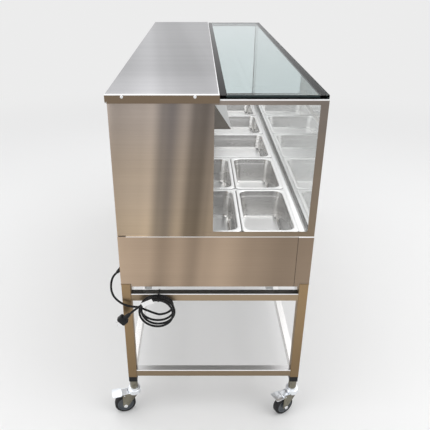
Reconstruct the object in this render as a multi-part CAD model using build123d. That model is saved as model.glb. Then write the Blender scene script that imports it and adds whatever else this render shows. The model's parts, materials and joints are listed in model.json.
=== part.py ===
from build123d import *
import math
import os

# Heated display case on a wheeled stand. Millimetres, +Z up, floor at Z = 0.
# Near end at -X, operator side at +Y, customer side at -Y.

# Overall plan
PAN_LENGTH = 325.0
ROW_GAP = 5.0
ROWS = 5
ROW_WIDTH = 530.0
ROW_NEAR_MARGIN = 14.0
ROW_FAR_MARGIN = 141.0
ROW_FRONT_MARGIN = 43.0
ROW_REAR_MARGIN = 27.0
SHEET = 1.2
SEAT_GAP = 0.2
RUN_GAP = 0.5
LEAST_CORNER = 0.3

# Casters
WHEEL_DIAMETER = 75.0
WHEEL_WIDTH = 24.0
WHEEL_RIM_DIAMETER = 58.0
HUB_DIAMETER = 24.0
WHEEL_RIM_WALL = 3.6
DISC_WIDTH = 10.0
AXLE_DIAMETER = 8.0
AXLE_HEX = 13.0
AXLE_HEAD = 5.5
TRAIL = 36.0
CHEEK_GAP = 27.0
CHEEK_SHEET = 2.5
CHEEK_FOOT_RADIUS = 10.0
CHEEK_ROOT_LENGTH = 25.0
CROWN_TOP = 88.0
CROWN_SHEET = 4.0
CROWN_RADIUS = 23.0
RACEWAY_DIAMETER = 46.0
RACEWAY_HEIGHT = 14.0
RING_DIAMETER = 36.0
RING_HEIGHT = 6.0
KINGPIN_DIAMETER = 12.0
RIVET_DIAMETER = 18.0
RIVET_HEIGHT = 3.5
SWIVEL_GAP = 0.4
PEDAL_PIVOT_REACH = 38.0
PEDAL_PIVOT_Z = 82.0
PEDAL_PIN_DIAMETER = 5.0
PEDAL_EAR_RADIUS = 7.0
PEDAL_BOSS_RADIUS = 4.5
PEDAL_REACH = 80.0
PEDAL_WIDTH = 42.0
PEDAL_SHEET = 2.5
PEDAL_LIP = 6.0
PEDAL_CROWN_GAP = 2.0
SHOE_LENGTH = 8.0
SHOE_CLEARANCE = 3.5
CASTER_HEADINGS = (105.0, 120.0, 285.0, 300.0)

# Stand
STEM_DIAMETER = 10.0
STEM_LENGTH = 38.0
BARREL_DIAMETER = 28.0
BARREL_HEIGHT = 32.6
COLLAR_HEIGHT = 22.0
COLLAR_SIZE = 29.0
SPIGOT_HEIGHT = 25.0
LEG_SIZE = 30.0
LEG_WALL = 1.5
LEG_LENGTH = 393.0
LEG_CORNER = 2.5
CAP_SIZE = 32.0
CAP_SHEET = 2.5
RAIL_SIZE = 27.0
RAIL_WALL = 1.5
UPPER_RAIL_DROP = 30.5
LOWER_RAIL_RISE = 3.0

# Lower case
POCKET_DEPTH = 9.0
POCKET_SIZE = 33.5
TANK_HEIGHT = 181.0
FLANGE = 10.0
FASCIA_RETURN = 48.0
POST_DROP = 2.4
FOOT_SIZE = 24.0
FOOT_HEIGHT = 30.5
FOOT_REAR_INSET = 83.0
FOOT_FRONT_INSET = 120.0

# Well, deck and pans
DECK_RISE = 9.0
DECK_FRONT_INSET = 4.0
PAN_GAP = 1.0
PAN_GAUGE = 1.0
PAN_FLANGE = 11.5
PAN_TAPER = 7.0
PAN_CORNER = 30.0
PAN_RIM_CORNER = 14.0
PAN_FLOOR_RADIUS = 12.0
PAN_SHOULDER_DROP = 20.0
PAN_SHOULDER = 2.0
DEEP_PAN = 100.0
SHALLOW_PAN = 65.0
DECK_LEDGE = 8.0
DECK_CORNER = 20.0
RIB_WIDTH = 12.0
RIB_HEIGHT = 9.0
WELL_DEPTH = 136.0
WELL_MARGIN = 4.0
WELL_RIM = 4.0
WELL_CORNER = 24.0
ELEMENT_DIAMETER = 8.5
ELEMENT_BEND = 55.0
ELEMENT_END_GAP = 60.0
ELEMENT_STUB = 28.0
ELEMENT_SPACING = 230.0

# Upper case
PANEL_HEIGHT = 415.5
PANEL_SETBACK = 3.0
PANEL_RETURN = 20.0
WINDOW_FRONT_INSET = 22.0
WINDOW_WIDTH = 287.0
WINDOW_SILL = 16.0
WINDOW_HEAD = 11.5
WINDOW_CORNER = 3.0
END_GLASS = 4.0
END_GLASS_LAP = 10.0
FRONT_GLASS = 6.0
FRONT_GLASS_INSET = 20.0
CHANNEL_HEIGHT = 20.0
CHANNEL_SHEET = 1.2
FRAME_HEIGHT = 5.0
FRAME_FRONT_INSET = 2.0
FRAME_RAIL = 19.0
FRAME_REAR_LAP = 3.0
FRAME_REAR_RAIL = 36.0
TOP_GLASS = 10.0
TOP_GLASS_INSET = 0.5
TOP_GLASS_FRONT_INSET = 1.2
TOP_GLASS_REAR_GAP = 1.0
TOP_GLASS_CORNER = 3.0
COVER_STEP = 3.5
COVER_FRAME_LAP = 16.2
COVER_REAR_LAP = 3.7
COVER_SKIRT = 25.0
COVER_RELIEF = 4.8
SCREW_REAR_INSET = 42.0
SCREW_FRONT_INSET = 66.2
SCREW_DROP = 7.0
SCREW_DIAMETER = 4.0
SCREW_HEAD_DIAMETER = 8.4
SCREW_HEAD_HEIGHT = 2.6
SCREW_GRIP = 9.0

# Lamp hood and lamps
HOOD_FRONT_LAP = 3.8
HOOD_TOP_WIDTH = 128.0
HOOD_FLARE = 30.0
HOOD_HEIGHT = 83.5
HOOD_END_GAP = 11.8
HOOD_LIP = 8.0
LAMP_COUNT = 3
LAMP_LENGTH = 500.0
LAMP_DIAMETER = 12.0
LAMP_DROP = 48.0
HOLDER_WIDTH = 20.0
HOLDER_LENGTH = 26.0
HOLDER_GRIP = 9.0

# Rear doors
POST_DEPTH = 26.0
POST_WIDTH = 24.0
POST_WALL = 1.5
TRACK_DEPTH = 24.0
SILL_TRACK = 12.0
HEAD_TRACK = 24.8
SILL_GROOVE = 8.0
HEAD_GROOVE = 16.0
DOOR_THICKNESS = 5.0
DOOR_PITCH = 10.0
DOOR_PLAY = 0.4
DOOR_OVERLAP = 32.0
DOOR_LIFT = 4.0
PULL_WIDTH = 16.0
PULL_HEIGHT = 100.0
PULL_DEPTH = 3.2
PULL_WALL = 2.4
PULL_CORNER = 6.8
PULL_INSET = 14.0

# Controls behind the rear fascia
KNOB_INSET = 200.0
KNOB_RISE = 93.0
KNOB_DIAMETER = 42.0
KNOB_SKIRT = 5.0
KNOB_GRIP_DIAMETER = 28.0
KNOB_DEPTH = 20.0
KNOB_WAIST = 23.5
SHAFT_DIAMETER = 6.0
SHAFT_LENGTH = 16.0
THERMOSTAT_SIZE = 36.0
THERMOSTAT_DEPTH = 26.0
SWITCH_SPACING = 80.0
SWITCH_WIDTH = 22.0
SWITCH_HEIGHT = 30.0
SWITCH_BEZEL = 2.0
SWITCH_BEZEL_LAP = 3.0
SWITCH_DEPTH = 24.0
ROCKER_WIDTH = 15.0
ROCKER_HALF = 10.5
ROCKER_ROOT_HALF = 6.3
ROCKER_TILT = 10.0
ROCKER_CROWN = 4.5
ROCKER_CLEARANCE = 1.8
TERMINAL_INSET = 85.0
TERMINAL_LENGTH = 60.0
TERMINAL_DEPTH = 22.0
TERMINAL_HEIGHT = 22.0
TERMINAL_STEP = 11.0
TERMINAL_SPINE = 4.4
TERMINAL_WAYS = 3

# Mains cord
CORD_DIAMETER = 7.2
ARC_SHARE = 0.45
GLAND_INSET = 44.0
GLAND_RISE = 43.0
GLAND_FLANGE_DIAMETER = 26.0
GLAND_FLANGE = 3.0
GLAND_NECK_DIAMETER = 17.0
GLAND_NECK = 10.0
BOOT_WALL = 1.5
LEAD_POINTS = (
    (-856.0, 317.0, 573.0),
    (-856.0, 328.5, 561.5),
    (-859.0, 336.0, 547.0),
    (-866.0, 339.5, 530.0),
    (-879.5, 337.0, 513.5),
    (-897.5, 325.0, 500.5),
    (-913.5, 299.5, 489.0),
    (-915.0, 274.0, 480.0),
    (-908.5, 258.0, 473.5),
    (-899.0, 247.0, 465.5),
)
COIL_TOP_X = -905.0
COIL_PITCH = 8.2
COIL_CENTRE_Y = 187.0
COIL_TOP_Z = 517.0
COIL_BOTTOMS_Z = (437.0, 420.0, 412.0, 407.5)
COIL_LEFTS_Y = (241.0, 238.0, 244.0)
COIL_RIGHTS_Y = (136.0, 133.0, 130.0, 135.0)
COIL_END_Y = 206.0
COIL_END_DROP = 4.0
COIL_END_SLOPE = 25.0
COIL_END_STEP = 3.0
TAIL_FIRST_RUN = 13.0
TAIL_POINTS_YZ = (
    (242.5, 491.8),
    (261.0, 475.8),
    (274.0, 463.0),
)
PLUG_NECK = 22.0
PLUG_NECK_DIAMETER = 17.4
PLUG_BODY = 20.0
PLUG_WIDTH = 32.0
PLUG_THICKNESS = 24.0
PLUG_CORNER = 7.0
PIN_LENGTH = 17.0
PIN_WIDTH = 6.3
PIN_SHEET = 1.6
PIN_SPACING = 13.7
PIN_SPLAY = 30.0
EARTH_PIN_OFFSET = 10.0
TIE_Y = 180.0
TIE_WIDTH = 4.8
TIE_SHEET = 1.4
TIE_CLEARANCE = 0.4
TIE_HEAD_LENGTH = 7.0
TIE_HEAD_WIDTH = 6.6
TIE_HEAD_HEIGHT = 4.2
TAG_LENGTH = 38.0
TAG_WIDTH = 17.0
TAG_SHEET = 0.8
TAG_SLEEVE = 10.0
TAG_SLEEVE_WALL = 0.8
CORD_CLEARANCE = 0.3

# Levels and places that follow from the sizes above
ROW_PITCH = PAN_LENGTH + ROW_GAP
CASE_LENGTH = ROW_NEAR_MARGIN + ROWS * PAN_LENGTH + (ROWS - 1) * ROW_GAP + ROW_FAR_MARGIN
CASE_WIDTH = ROW_FRONT_MARGIN + ROW_WIDTH + ROW_REAR_MARGIN
HALF_LENGTH = CASE_LENGTH / 2
HALF_WIDTH = CASE_WIDTH / 2
AXLE_Z = WHEEL_DIAMETER / 2
FORK_TOP = CROWN_TOP + RACEWAY_HEIGHT + RING_HEIGHT
COLLAR_BOTTOM = FORK_TOP + SWIVEL_GAP + BARREL_HEIGHT
LEG_BOTTOM = COLLAR_BOTTOM + COLLAR_HEIGHT
LEG_TOP = LEG_BOTTOM + LEG_LENGTH
LEG_X = HALF_LENGTH - LEG_SIZE / 2
LEG_Y = HALF_WIDTH - LEG_SIZE / 2
TANK_BOTTOM = LEG_TOP - POCKET_DEPTH
SEAM = TANK_BOTTOM + TANK_HEIGHT
DECK_TOP = SEAM + DECK_RISE
PANEL_TOP = SEAM + PANEL_HEIGHT
FRAME_TOP = PANEL_TOP + FRAME_HEIGHT
GLASS_TOP = FRAME_TOP + TOP_GLASS
COVER_TOP = GLASS_TOP + COVER_STEP
COVER_UNDER = COVER_TOP - SHEET
PANEL_X = HALF_LENGTH - PANEL_SETBACK
PANEL_INNER_X = PANEL_X - SHEET
POST_X = PANEL_X - POST_WIDTH
POST_Y = HALF_WIDTH - POST_DEPTH
INNER_X = HALF_LENGTH - SHEET - SEAT_GAP
INNER_Y = HALF_WIDTH - SHEET - SEAT_GAP
UPPER_RAIL_TOP = TANK_BOTTOM - UPPER_RAIL_DROP
CORD_RADIUS = CORD_DIAMETER / 2
CORNERS = ((-1, 1), (-1, -1), (1, -1), (1, 1))
ENDS = (-1, 1)
ROW_STARTS = [ROW_NEAR_MARGIN - HALF_LENGTH + ROW_PITCH * index for index in range(ROWS)]
ROW_FRONT_Y = ROW_FRONT_MARGIN - HALF_WIDTH
WELL_X0 = ROW_STARTS[0] + DECK_LEDGE - WELL_MARGIN
WELL_X1 = ROW_STARTS[-1] + PAN_LENGTH - DECK_LEDGE + WELL_MARGIN
WELL_Y0 = ROW_FRONT_Y + DECK_LEDGE - WELL_MARGIN
WELL_Y1 = ROW_FRONT_Y + ROW_WIDTH - DECK_LEDGE + WELL_MARGIN
WELL_FLOOR = DECK_TOP - WELL_DEPTH
DECK_FRONT_Y = DECK_FRONT_INSET - HALF_WIDTH
WINDOW_FRONT_Y = WINDOW_FRONT_INSET - HALF_WIDTH
WINDOW_REAR_Y = WINDOW_FRONT_Y + WINDOW_WIDTH
FRONT_GLASS_Y = FRONT_GLASS_INSET - HALF_WIDTH
FRAME_FRONT_Y = FRAME_FRONT_INSET - HALF_WIDTH
FRAME_REAR_Y = WINDOW_REAR_Y + FRAME_REAR_LAP
COVER_FRONT_Y = FRAME_REAR_Y - COVER_FRAME_LAP
TOP_GLASS_FRONT_Y = TOP_GLASS_FRONT_INSET - HALF_WIDTH
TOP_GLASS_REAR_Y = COVER_FRONT_Y - TOP_GLASS_REAR_GAP
SCREW_POSITIONS_Y = (HALF_WIDTH - SCREW_REAR_INSET, COVER_FRONT_Y + SCREW_FRONT_INSET)
HOOD_HALF_LENGTH = PANEL_INNER_X - END_GLASS - HOOD_END_GAP
HOOD_TOP_FRONT_Y = COVER_FRONT_Y - HOOD_FRONT_LAP
HOOD_TOP_REAR_Y = HOOD_TOP_FRONT_Y + HOOD_TOP_WIDTH
HOOD_MOUTH = PANEL_TOP - HOOD_HEIGHT
LAMP_PITCH = 2 * HOOD_HALF_LENGTH / LAMP_COUNT
KNOB_X = KNOB_INSET - HALF_LENGTH
KNOB_Z = TANK_BOTTOM + KNOB_RISE
SWITCH_X = KNOB_X + SWITCH_SPACING
TERMINAL_X = TERMINAL_INSET - HALF_LENGTH
GLAND_X = GLAND_INSET - HALF_LENGTH
GLAND_Z = TANK_BOTTOM + GLAND_RISE

NODES = {}


def block(x0, x1, y0, y1, z0, z1):
    """Box between two corners."""
    middle = Pos((x0 + x1) / 2, (y0 + y1) / 2, (z0 + z1) / 2)
    return middle * Box(x1 - x0, y1 - y0, z1 - z0)


def end_block(side, x0, x1, y0, y1, z0, z1):
    """Box given for the +X end, mirrored to the -X end when side is -1."""
    low, high = sorted((side * x0, side * x1))
    return block(low, high, y0, y1, z0, z1)


def plate_yz(points, x0, x1):
    """Flat outline in Y and Z, given thickness along X."""
    low, high = sorted((x0, x1))
    face = make_face(Polyline(*points, close=True))
    return extrude(Plane.YZ.offset(low) * face, amount=high - low)


def square_tube(size_x, size_y, wall, corner, length):
    """Upright square tube standing on Z = 0."""
    outer = RectangleRounded(size_x, size_y, corner)
    inner = RectangleRounded(size_x - 2 * wall, size_y - 2 * wall, max(corner - wall, LEAST_CORNER))
    return extrude(outer - inner, amount=length)


def rod(start, direction, radius, length):
    """Round bar from a point along a direction."""
    return extrude(Plane(origin=start, z_dir=direction) * Circle(radius), amount=length)


def keep(name, *shapes):
    """Note the solids that belong to a node."""
    NODES[name] = [solid for shape in shapes for solid in shape.solids()]


def stand():
    """Legs with caps, rails, stem sockets, caster stems and the feet under the case."""
    tube_length = LEG_LENGTH - CAP_SHEET
    leg = square_tube(LEG_SIZE, LEG_SIZE, LEG_WALL, LEG_CORNER, tube_length)
    cap = extrude(RectangleRounded(CAP_SIZE, CAP_SIZE, LEG_CORNER), amount=CAP_SHEET)
    places = [(x * LEG_X, y * LEG_Y) for x, y in CORNERS]
    legs = [Pos(x, y, LEG_BOTTOM) * leg for x, y in places]
    caps = [Pos(x, y, LEG_TOP - CAP_SHEET) * cap for x, y in places]
    keep("stand_legs", *legs, *caps)

    rails = []
    end_run = 2 * (LEG_Y - LEG_SIZE / 2)
    side_run = 2 * (LEG_X - LEG_SIZE / 2)
    end_rail = square_tube(RAIL_SIZE, RAIL_SIZE, RAIL_WALL, LEG_CORNER, end_run)
    side_rail = square_tube(RAIL_SIZE, RAIL_SIZE, RAIL_WALL, LEG_CORNER, side_run)
    lower = LEG_BOTTOM + LOWER_RAIL_RISE + RAIL_SIZE / 2
    upper = UPPER_RAIL_TOP - RAIL_SIZE / 2
    for level in (lower, upper):
        for side in ENDS:
            rails.append(Pos(side * LEG_X, end_run / 2, level) * Rot(90, 0, 0) * end_rail)
            rails.append(Pos(-side_run / 2, side * LEG_Y, level) * Rot(0, 90, 0) * side_rail)
    keep("stand_rails", *rails)

    spigot_size = LEG_SIZE - 2 * LEG_WALL - SEAT_GAP
    socket = extrude(RectangleRounded(COLLAR_SIZE, COLLAR_SIZE, LEG_CORNER), amount=COLLAR_HEIGHT)
    spigot = extrude(RectangleRounded(spigot_size, spigot_size, LEG_CORNER / 2), amount=SPIGOT_HEIGHT)
    socket += Pos(0, 0, COLLAR_HEIGHT) * spigot
    socket -= extrude(Circle((STEM_DIAMETER + SEAT_GAP) / 2), amount=COLLAR_HEIGHT + SPIGOT_HEIGHT)
    keep("stem_sockets", *[Pos(x, y, COLLAR_BOTTOM) * socket for x, y in places])

    barrel_bottom = COLLAR_BOTTOM - BARREL_HEIGHT
    rivet_top = CROWN_TOP - CROWN_SHEET - RUN_GAP / 2
    up = (0, 0, 1)
    stem = rod((0, 0, barrel_bottom), up, BARREL_DIAMETER / 2, BARREL_HEIGHT)
    stem += rod((0, 0, COLLAR_BOTTOM), up, STEM_DIAMETER / 2, STEM_LENGTH)
    stem += rod((0, 0, rivet_top), up, KINGPIN_DIAMETER / 2, barrel_bottom - rivet_top)
    stem += rod((0, 0, rivet_top - RIVET_HEIGHT), up, RIVET_DIAMETER / 2, RIVET_HEIGHT)
    keep("caster_stems", *[Pos(x, y, 0) * stem for x, y in places])

    foot_x = LEG_X - RAIL_SIZE / 2 - SEAT_GAP - FOOT_SIZE / 2
    foot = extrude(RectangleRounded(FOOT_SIZE, FOOT_SIZE, LEG_CORNER), amount=FOOT_HEIGHT)
    foot_rows = (HALF_WIDTH - FOOT_REAR_INSET, FOOT_FRONT_INSET - HALF_WIDTH)
    spots = [(x * foot_x, y) for x in ENDS for y in foot_rows]
    keep("foot_blocks", *[Pos(x, y, TANK_BOTTOM - FOOT_HEIGHT) * foot for x, y in spots])


def caster_fork():
    """Swivelling fork with its raceway, axle bolt and nut, trailing along +X."""
    cheek_outer = CHEEK_GAP / 2 + CHEEK_SHEET
    crown_z = CROWN_TOP - CROWN_SHEET
    crown = extrude(
        Plane.XY.offset(crown_z) * (Circle(CROWN_RADIUS) + Pos(CROWN_RADIUS / 2, 0)
                                    * Rectangle(CROWN_RADIUS, 2 * cheek_outer)),
        amount=CROWN_SHEET,
    )
    head = [Pos(0, crown_z + CROWN_SHEET / 2) * Rectangle(CHEEK_ROOT_LENGTH, CROWN_SHEET)]
    head.append(Pos(TRAIL, AXLE_Z) * Circle(CHEEK_FOOT_RADIUS))
    head.append(Pos(PEDAL_PIVOT_REACH, PEDAL_PIVOT_Z) * Circle(PEDAL_EAR_RADIUS))
    outline = make_hull([edge for sketch in head for edge in sketch.edges()])
    outline -= Pos(TRAIL, AXLE_Z) * Circle((AXLE_DIAMETER + SEAT_GAP) / 2)
    outline -= Pos(PEDAL_PIVOT_REACH, PEDAL_PIVOT_Z) * Circle(PEDAL_PIN_DIAMETER / 2 + RUN_GAP / 2)
    fork = crown
    for inner in (CHEEK_GAP / 2 + CHEEK_SHEET, -CHEEK_GAP / 2):
        fork += extrude(Plane.XZ.offset(-inner) * outline, amount=CHEEK_SHEET)
    up = (0, 0, 1)
    fork += rod((0, 0, CROWN_TOP), up, RACEWAY_DIAMETER / 2, RACEWAY_HEIGHT)
    fork = fillet(fork.faces().sort_by(Axis.Z)[-1].outer_wire().edges(), CROWN_SHEET)
    fork += rod((0, 0, CROWN_TOP + RACEWAY_HEIGHT), up, RING_DIAMETER / 2, RING_HEIGHT)
    fork -= rod((0, 0, 0), up, KINGPIN_DIAMETER / 2 + RUN_GAP / 2, FORK_TOP)

    across = (0, 1, 0)
    grip = 2 * cheek_outer
    hexagon = RegularPolygon(AXLE_HEX / 2, 6, major_radius=False)
    bolt = rod((TRAIL, -cheek_outer, AXLE_Z), across, AXLE_DIAMETER / 2, grip)
    for start in (-cheek_outer - AXLE_HEAD, cheek_outer):
        plane = Plane(origin=(TRAIL, start, AXLE_Z), z_dir=across)
        bolt += extrude(plane * hexagon, amount=AXLE_HEAD)
    return [fork, bolt]


def caster_wheel():
    """Wheel centre with hub, dished disc and rim, and the tyre bonded round it."""
    bore = AXLE_DIAMETER / 2 + RUN_GAP / 2
    hub = HUB_DIAMETER / 2
    rim = WHEEL_RIM_DIAMETER / 2
    hub_half = CHEEK_GAP / 2 - RUN_GAP
    disc_half = DISC_WIDTH / 2
    rim_half = WHEEL_WIDTH / 2 - RUN_GAP
    half_profile = [(bore, hub_half), (hub - SHEET, hub_half), (hub, disc_half)]
    half_profile += [(rim - WHEEL_RIM_WALL, disc_half), (rim - SHEET, rim_half), (rim, rim_half)]
    profile = half_profile + [(radius, -side) for radius, side in reversed(half_profile)]
    centre = revolve(make_face(Polyline(*profile, close=True)), axis=Axis.Y)
    tread = WHEEL_DIAMETER / 2
    section = Pos((rim + tread) / 2, 0) * Rectangle(tread - rim, WHEEL_WIDTH)
    section = fillet(section.vertices().sort_by(Axis.X)[-2:], (tread - rim) / 2)
    tyre = revolve(section, axis=Axis.Y)
    return [Pos(TRAIL, 0, AXLE_Z) * piece for piece in (centre, tyre)]


def caster_pedal():
    """Brake pedal: pivot boss with its pin, tread plate with an upturned lip, bridge and brake shoe."""
    boss_half = CHEEK_GAP / 2 - RUN_GAP
    pin_half = CHEEK_GAP / 2 + CHEEK_SHEET
    across = (0, 1, 0)
    pivot = (PEDAL_PIVOT_REACH, PEDAL_PIVOT_Z)
    plate_start = PEDAL_PIVOT_REACH + PEDAL_EAR_RADIUS + 2 * RUN_GAP
    plate_z = PEDAL_PIVOT_Z + PEDAL_BOSS_RADIUS
    neck = plate_start + PEDAL_SHEET
    arm = make_hull((Pos(*pivot) * Circle(PEDAL_BOSS_RADIUS)).edges()
                    + (Pos(neck, plate_z) * Rectangle(PEDAL_SHEET, PEDAL_SHEET)).edges())
    pedal = extrude(Plane.XZ.offset(-boss_half) * arm, amount=2 * boss_half)
    tread = Pos((plate_start + PEDAL_REACH) / 2, 0)
    tread *= RectangleRounded(PEDAL_REACH - plate_start, PEDAL_WIDTH, 2 * PEDAL_SHEET)
    pedal += extrude(Plane.XY.offset(plate_z) * tread, amount=PEDAL_SHEET)
    half = PEDAL_WIDTH / 2 - 2 * PEDAL_SHEET
    pedal += block(plate_start, neck, -half, half, plate_z, plate_z + PEDAL_LIP)
    bridge_start = CROWN_RADIUS + PEDAL_CROWN_GAP
    pedal += block(bridge_start, neck, -boss_half, boss_half, plate_z, plate_z + PEDAL_SHEET)
    pedal += rod((pivot[0], -pin_half, pivot[1]), across, PEDAL_PIN_DIAMETER / 2, 2 * pin_half)
    shoe_reach = neck + SHOE_LENGTH - TRAIL
    tyre_top = AXLE_Z + math.sqrt((WHEEL_DIAMETER / 2) ** 2 - (shoe_reach / 2) ** 2)
    shoe_half = WHEEL_WIDTH / 2 - 2 * PEDAL_SHEET
    shoe = block(plate_start, neck + SHOE_LENGTH, -shoe_half, shoe_half, tyre_top + SHOE_CLEARANCE, plate_z)
    return [pedal + shoe]


def casters():
    """Four casters, each turned to its own heading about its leg."""
    makers = (("fork", caster_fork()), ("wheel", caster_wheel()), ("pedal", caster_pedal()))
    for index, (corner, heading) in enumerate(zip(CORNERS, CASTER_HEADINGS), start=1):
        place = Pos(corner[0] * LEG_X, corner[1] * LEG_Y, 0) * Rot(0, 0, heading)
        for name, pieces in makers:
            keep(f"caster_{index}_{name}", *[place * piece for piece in pieces])


def corner_pockets():
    """Space round the four leg tops, cut from the bottom corners of the case."""
    cuts = []
    for x, y in CORNERS:
        x0, x1 = sorted((x * (HALF_LENGTH - POCKET_SIZE), x * (HALF_LENGTH + SHEET)))
        y0, y1 = sorted((y * (HALF_WIDTH - POCKET_SIZE), y * (HALF_WIDTH + SHEET)))
        cuts.append(block(x0, x1, y0, y1, TANK_BOTTOM - SHEET, LEG_TOP + SHEET + SEAT_GAP))
    return cuts


def lower_case():
    """End panels, front fascia, rear fascia and base panel of the lower case."""
    pockets = corner_pockets()
    seam_y = -HALF_WIDTH + FASCIA_RETURN + SEAT_GAP
    flange_z = SEAM - SHEET
    panels = []
    for side in ENDS:
        inner = HALF_LENGTH - SHEET
        panel = end_block(side, inner, HALF_LENGTH, seam_y, HALF_WIDTH, TANK_BOTTOM, SEAM)
        panel += end_block(side, inner - FLANGE, inner, seam_y, POST_Y, flange_z, SEAM)
        for cut in pockets:
            panel -= cut
        panels.append(panel)
    keep("lower_end_panels", *panels)

    back = -HALF_WIDTH + FASCIA_RETURN
    front = block(-HALF_LENGTH, HALF_LENGTH, -HALF_WIDTH, back, TANK_BOTTOM, SEAM)
    hollow_x = HALF_LENGTH - SHEET
    front -= block(-hollow_x, hollow_x, -HALF_WIDTH + SHEET, back, TANK_BOTTOM, SEAM)
    front += block(-hollow_x, hollow_x, -HALF_WIDTH, -HALF_WIDTH + SHEET + FLANGE, flange_z, SEAM)
    for side in ENDS:
        front += end_block(side, hollow_x - FLANGE, hollow_x, -HALF_WIDTH, back, flange_z, SEAM)
    for cut in pockets:
        front -= cut
    keep("front_fascia", front)

    sheet_y = HALF_WIDTH - SHEET
    rear_x = POST_X - SEAT_GAP
    rear = block(-INNER_X, INNER_X, sheet_y, HALF_WIDTH, TANK_BOTTOM, SEAM - POST_DROP)
    rear += block(-rear_x, rear_x, sheet_y, HALF_WIDTH, TANK_BOTTOM, SEAM)
    rear += block(-rear_x, rear_x, sheet_y - FLANGE, HALF_WIDTH, flange_z, SEAM)
    for cut in pockets:
        rear -= cut
    inward = (0, 1, 0)
    hole_start = sheet_y - SHEET
    rear -= rod((KNOB_X, hole_start, KNOB_Z), inward, SHAFT_DIAMETER / 2 + RUN_GAP, 3 * SHEET)
    rear -= rod((GLAND_X, hole_start, GLAND_Z), inward, GLAND_NECK_DIAMETER / 2 + SEAT_GAP, 3 * SHEET)
    slot_x = SWITCH_WIDTH / 2 + SEAT_GAP
    slot_z = SWITCH_HEIGHT / 2 + SEAT_GAP
    rear -= block(SWITCH_X - slot_x, SWITCH_X + slot_x, hole_start, HALF_WIDTH + SHEET,
                  KNOB_Z - slot_z, KNOB_Z + slot_z)
    keep("rear_fascia", rear)

    base = block(-INNER_X, INNER_X, -INNER_Y, INNER_Y, TANK_BOTTOM, TANK_BOTTOM + SHEET)
    for x, y in CORNERS:
        wall_x = sorted((x * (HALF_LENGTH - POCKET_SIZE - SHEET), x * INNER_X))
        wall_y = sorted((y * (HALF_WIDTH - POCKET_SIZE - SHEET), y * INNER_Y))
        base += block(*wall_x, *wall_y, TANK_BOTTOM, LEG_TOP + SHEET)
        hole_x = sorted((x * (HALF_LENGTH - POCKET_SIZE), x * HALF_LENGTH))
        hole_y = sorted((y * (HALF_WIDTH - POCKET_SIZE), y * HALF_WIDTH))
        base -= block(*hole_x, *hole_y, TANK_BOTTOM, LEG_TOP)
    keep("base_panel", base)


def row_outline(start, inset, corner):
    """Plan outline of one row of pans, drawn in from the pan flanges."""
    length = PAN_LENGTH - 2 * inset
    width = ROW_WIDTH - 2 * inset
    centre = Pos(start + PAN_LENGTH / 2, ROW_FRONT_Y + ROW_WIDTH / 2)
    return centre * RectangleRounded(length, width, corner)


def well():
    """Well tank, deck with a cut-out for each row, and the heating elements on the tank floor."""
    centre = Pos((WELL_X0 + WELL_X1) / 2, (WELL_Y0 + WELL_Y1) / 2)
    size_x = WELL_X1 - WELL_X0
    size_y = WELL_Y1 - WELL_Y0
    grow = 2 * SHEET
    rim = 2 * (SHEET + WELL_RIM)
    under_deck = DECK_TOP - SHEET
    tank = extrude(Plane.XY.offset(WELL_FLOOR - SHEET) * centre
                   * RectangleRounded(size_x + grow, size_y + grow, WELL_CORNER + SHEET),
                   amount=under_deck - WELL_FLOOR + SHEET)
    tank += extrude(Plane.XY.offset(under_deck - SHEET) * centre
                    * RectangleRounded(size_x + rim, size_y + rim, WELL_CORNER), amount=SHEET)
    tank -= extrude(Plane.XY.offset(WELL_FLOOR) * centre
                    * RectangleRounded(size_x, size_y, WELL_CORNER), amount=WELL_DEPTH)

    elements = []
    radius = ELEMENT_DIAMETER / 2
    level = WELL_FLOOR + radius
    near_x = WELL_X0 + ELEMENT_END_GAP + ELEMENT_BEND
    far_x = WELL_X1 + SHEET + ELEMENT_STUB
    for side in ENDS:
        middle = (WELL_Y0 + WELL_Y1 + side * ELEMENT_SPACING) / 2
        y0, y1 = middle - ELEMENT_BEND, middle + ELEMENT_BEND
        bend = ThreePointArc(
            (near_x, y0, level), (near_x - ELEMENT_BEND, middle, level), (near_x, y1, level))
        path = Wire([Line((far_x, y0, level), (near_x, y0, level)), bend,
                     Line((near_x, y1, level), (far_x, y1, level))])
        section = Plane(origin=(far_x, y0, level), z_dir=(-1, 0, 0)) * Circle(radius)
        elements.append(sweep(section, path=path))
        for y in (y0, y1):
            tank -= rod((WELL_X1 - SHEET, y, level), (1, 0, 0), radius + SEAT_GAP, 3 * SHEET)
    keep("well_tank", tank)
    keep("heating_elements", *elements)

    deck_x = PANEL_INNER_X - SEAT_GAP
    deck = block(-deck_x, deck_x, DECK_FRONT_Y, INNER_Y, SEAM, DECK_TOP)
    deck -= block(-deck_x + SHEET, deck_x - SHEET, DECK_FRONT_Y + SHEET, INNER_Y - SHEET, SEAM, under_deck)
    notch_x = POST_X - SEAT_GAP
    notch_y = POST_Y - SEAT_GAP
    for side in ENDS:
        deck += end_block(side, notch_x - SHEET, deck_x, notch_y - SHEET, INNER_Y, SEAM, DECK_TOP)
        deck -= end_block(side, notch_x, HALF_LENGTH, notch_y, HALF_WIDTH, SEAM, DECK_TOP)
    for start in ROW_STARTS[1:]:
        bar = start - (ROW_PITCH - PAN_LENGTH) / 2
        rib_y0 = ROW_FRONT_Y + 2 * DECK_LEDGE
        rib_y1 = ROW_FRONT_Y + ROW_WIDTH - 2 * DECK_LEDGE
        deck += block(bar - RIB_WIDTH / 2, bar + RIB_WIDTH / 2, rib_y0, rib_y1,
                      under_deck - RIB_HEIGHT, DECK_TOP)
    for start in ROW_STARTS:
        opening = row_outline(start, DECK_LEDGE, DECK_CORNER)
        deck -= extrude(Plane.XY.offset(SEAM) * opening, amount=2 * DECK_RISE)
    keep("well_deck", deck)


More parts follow.
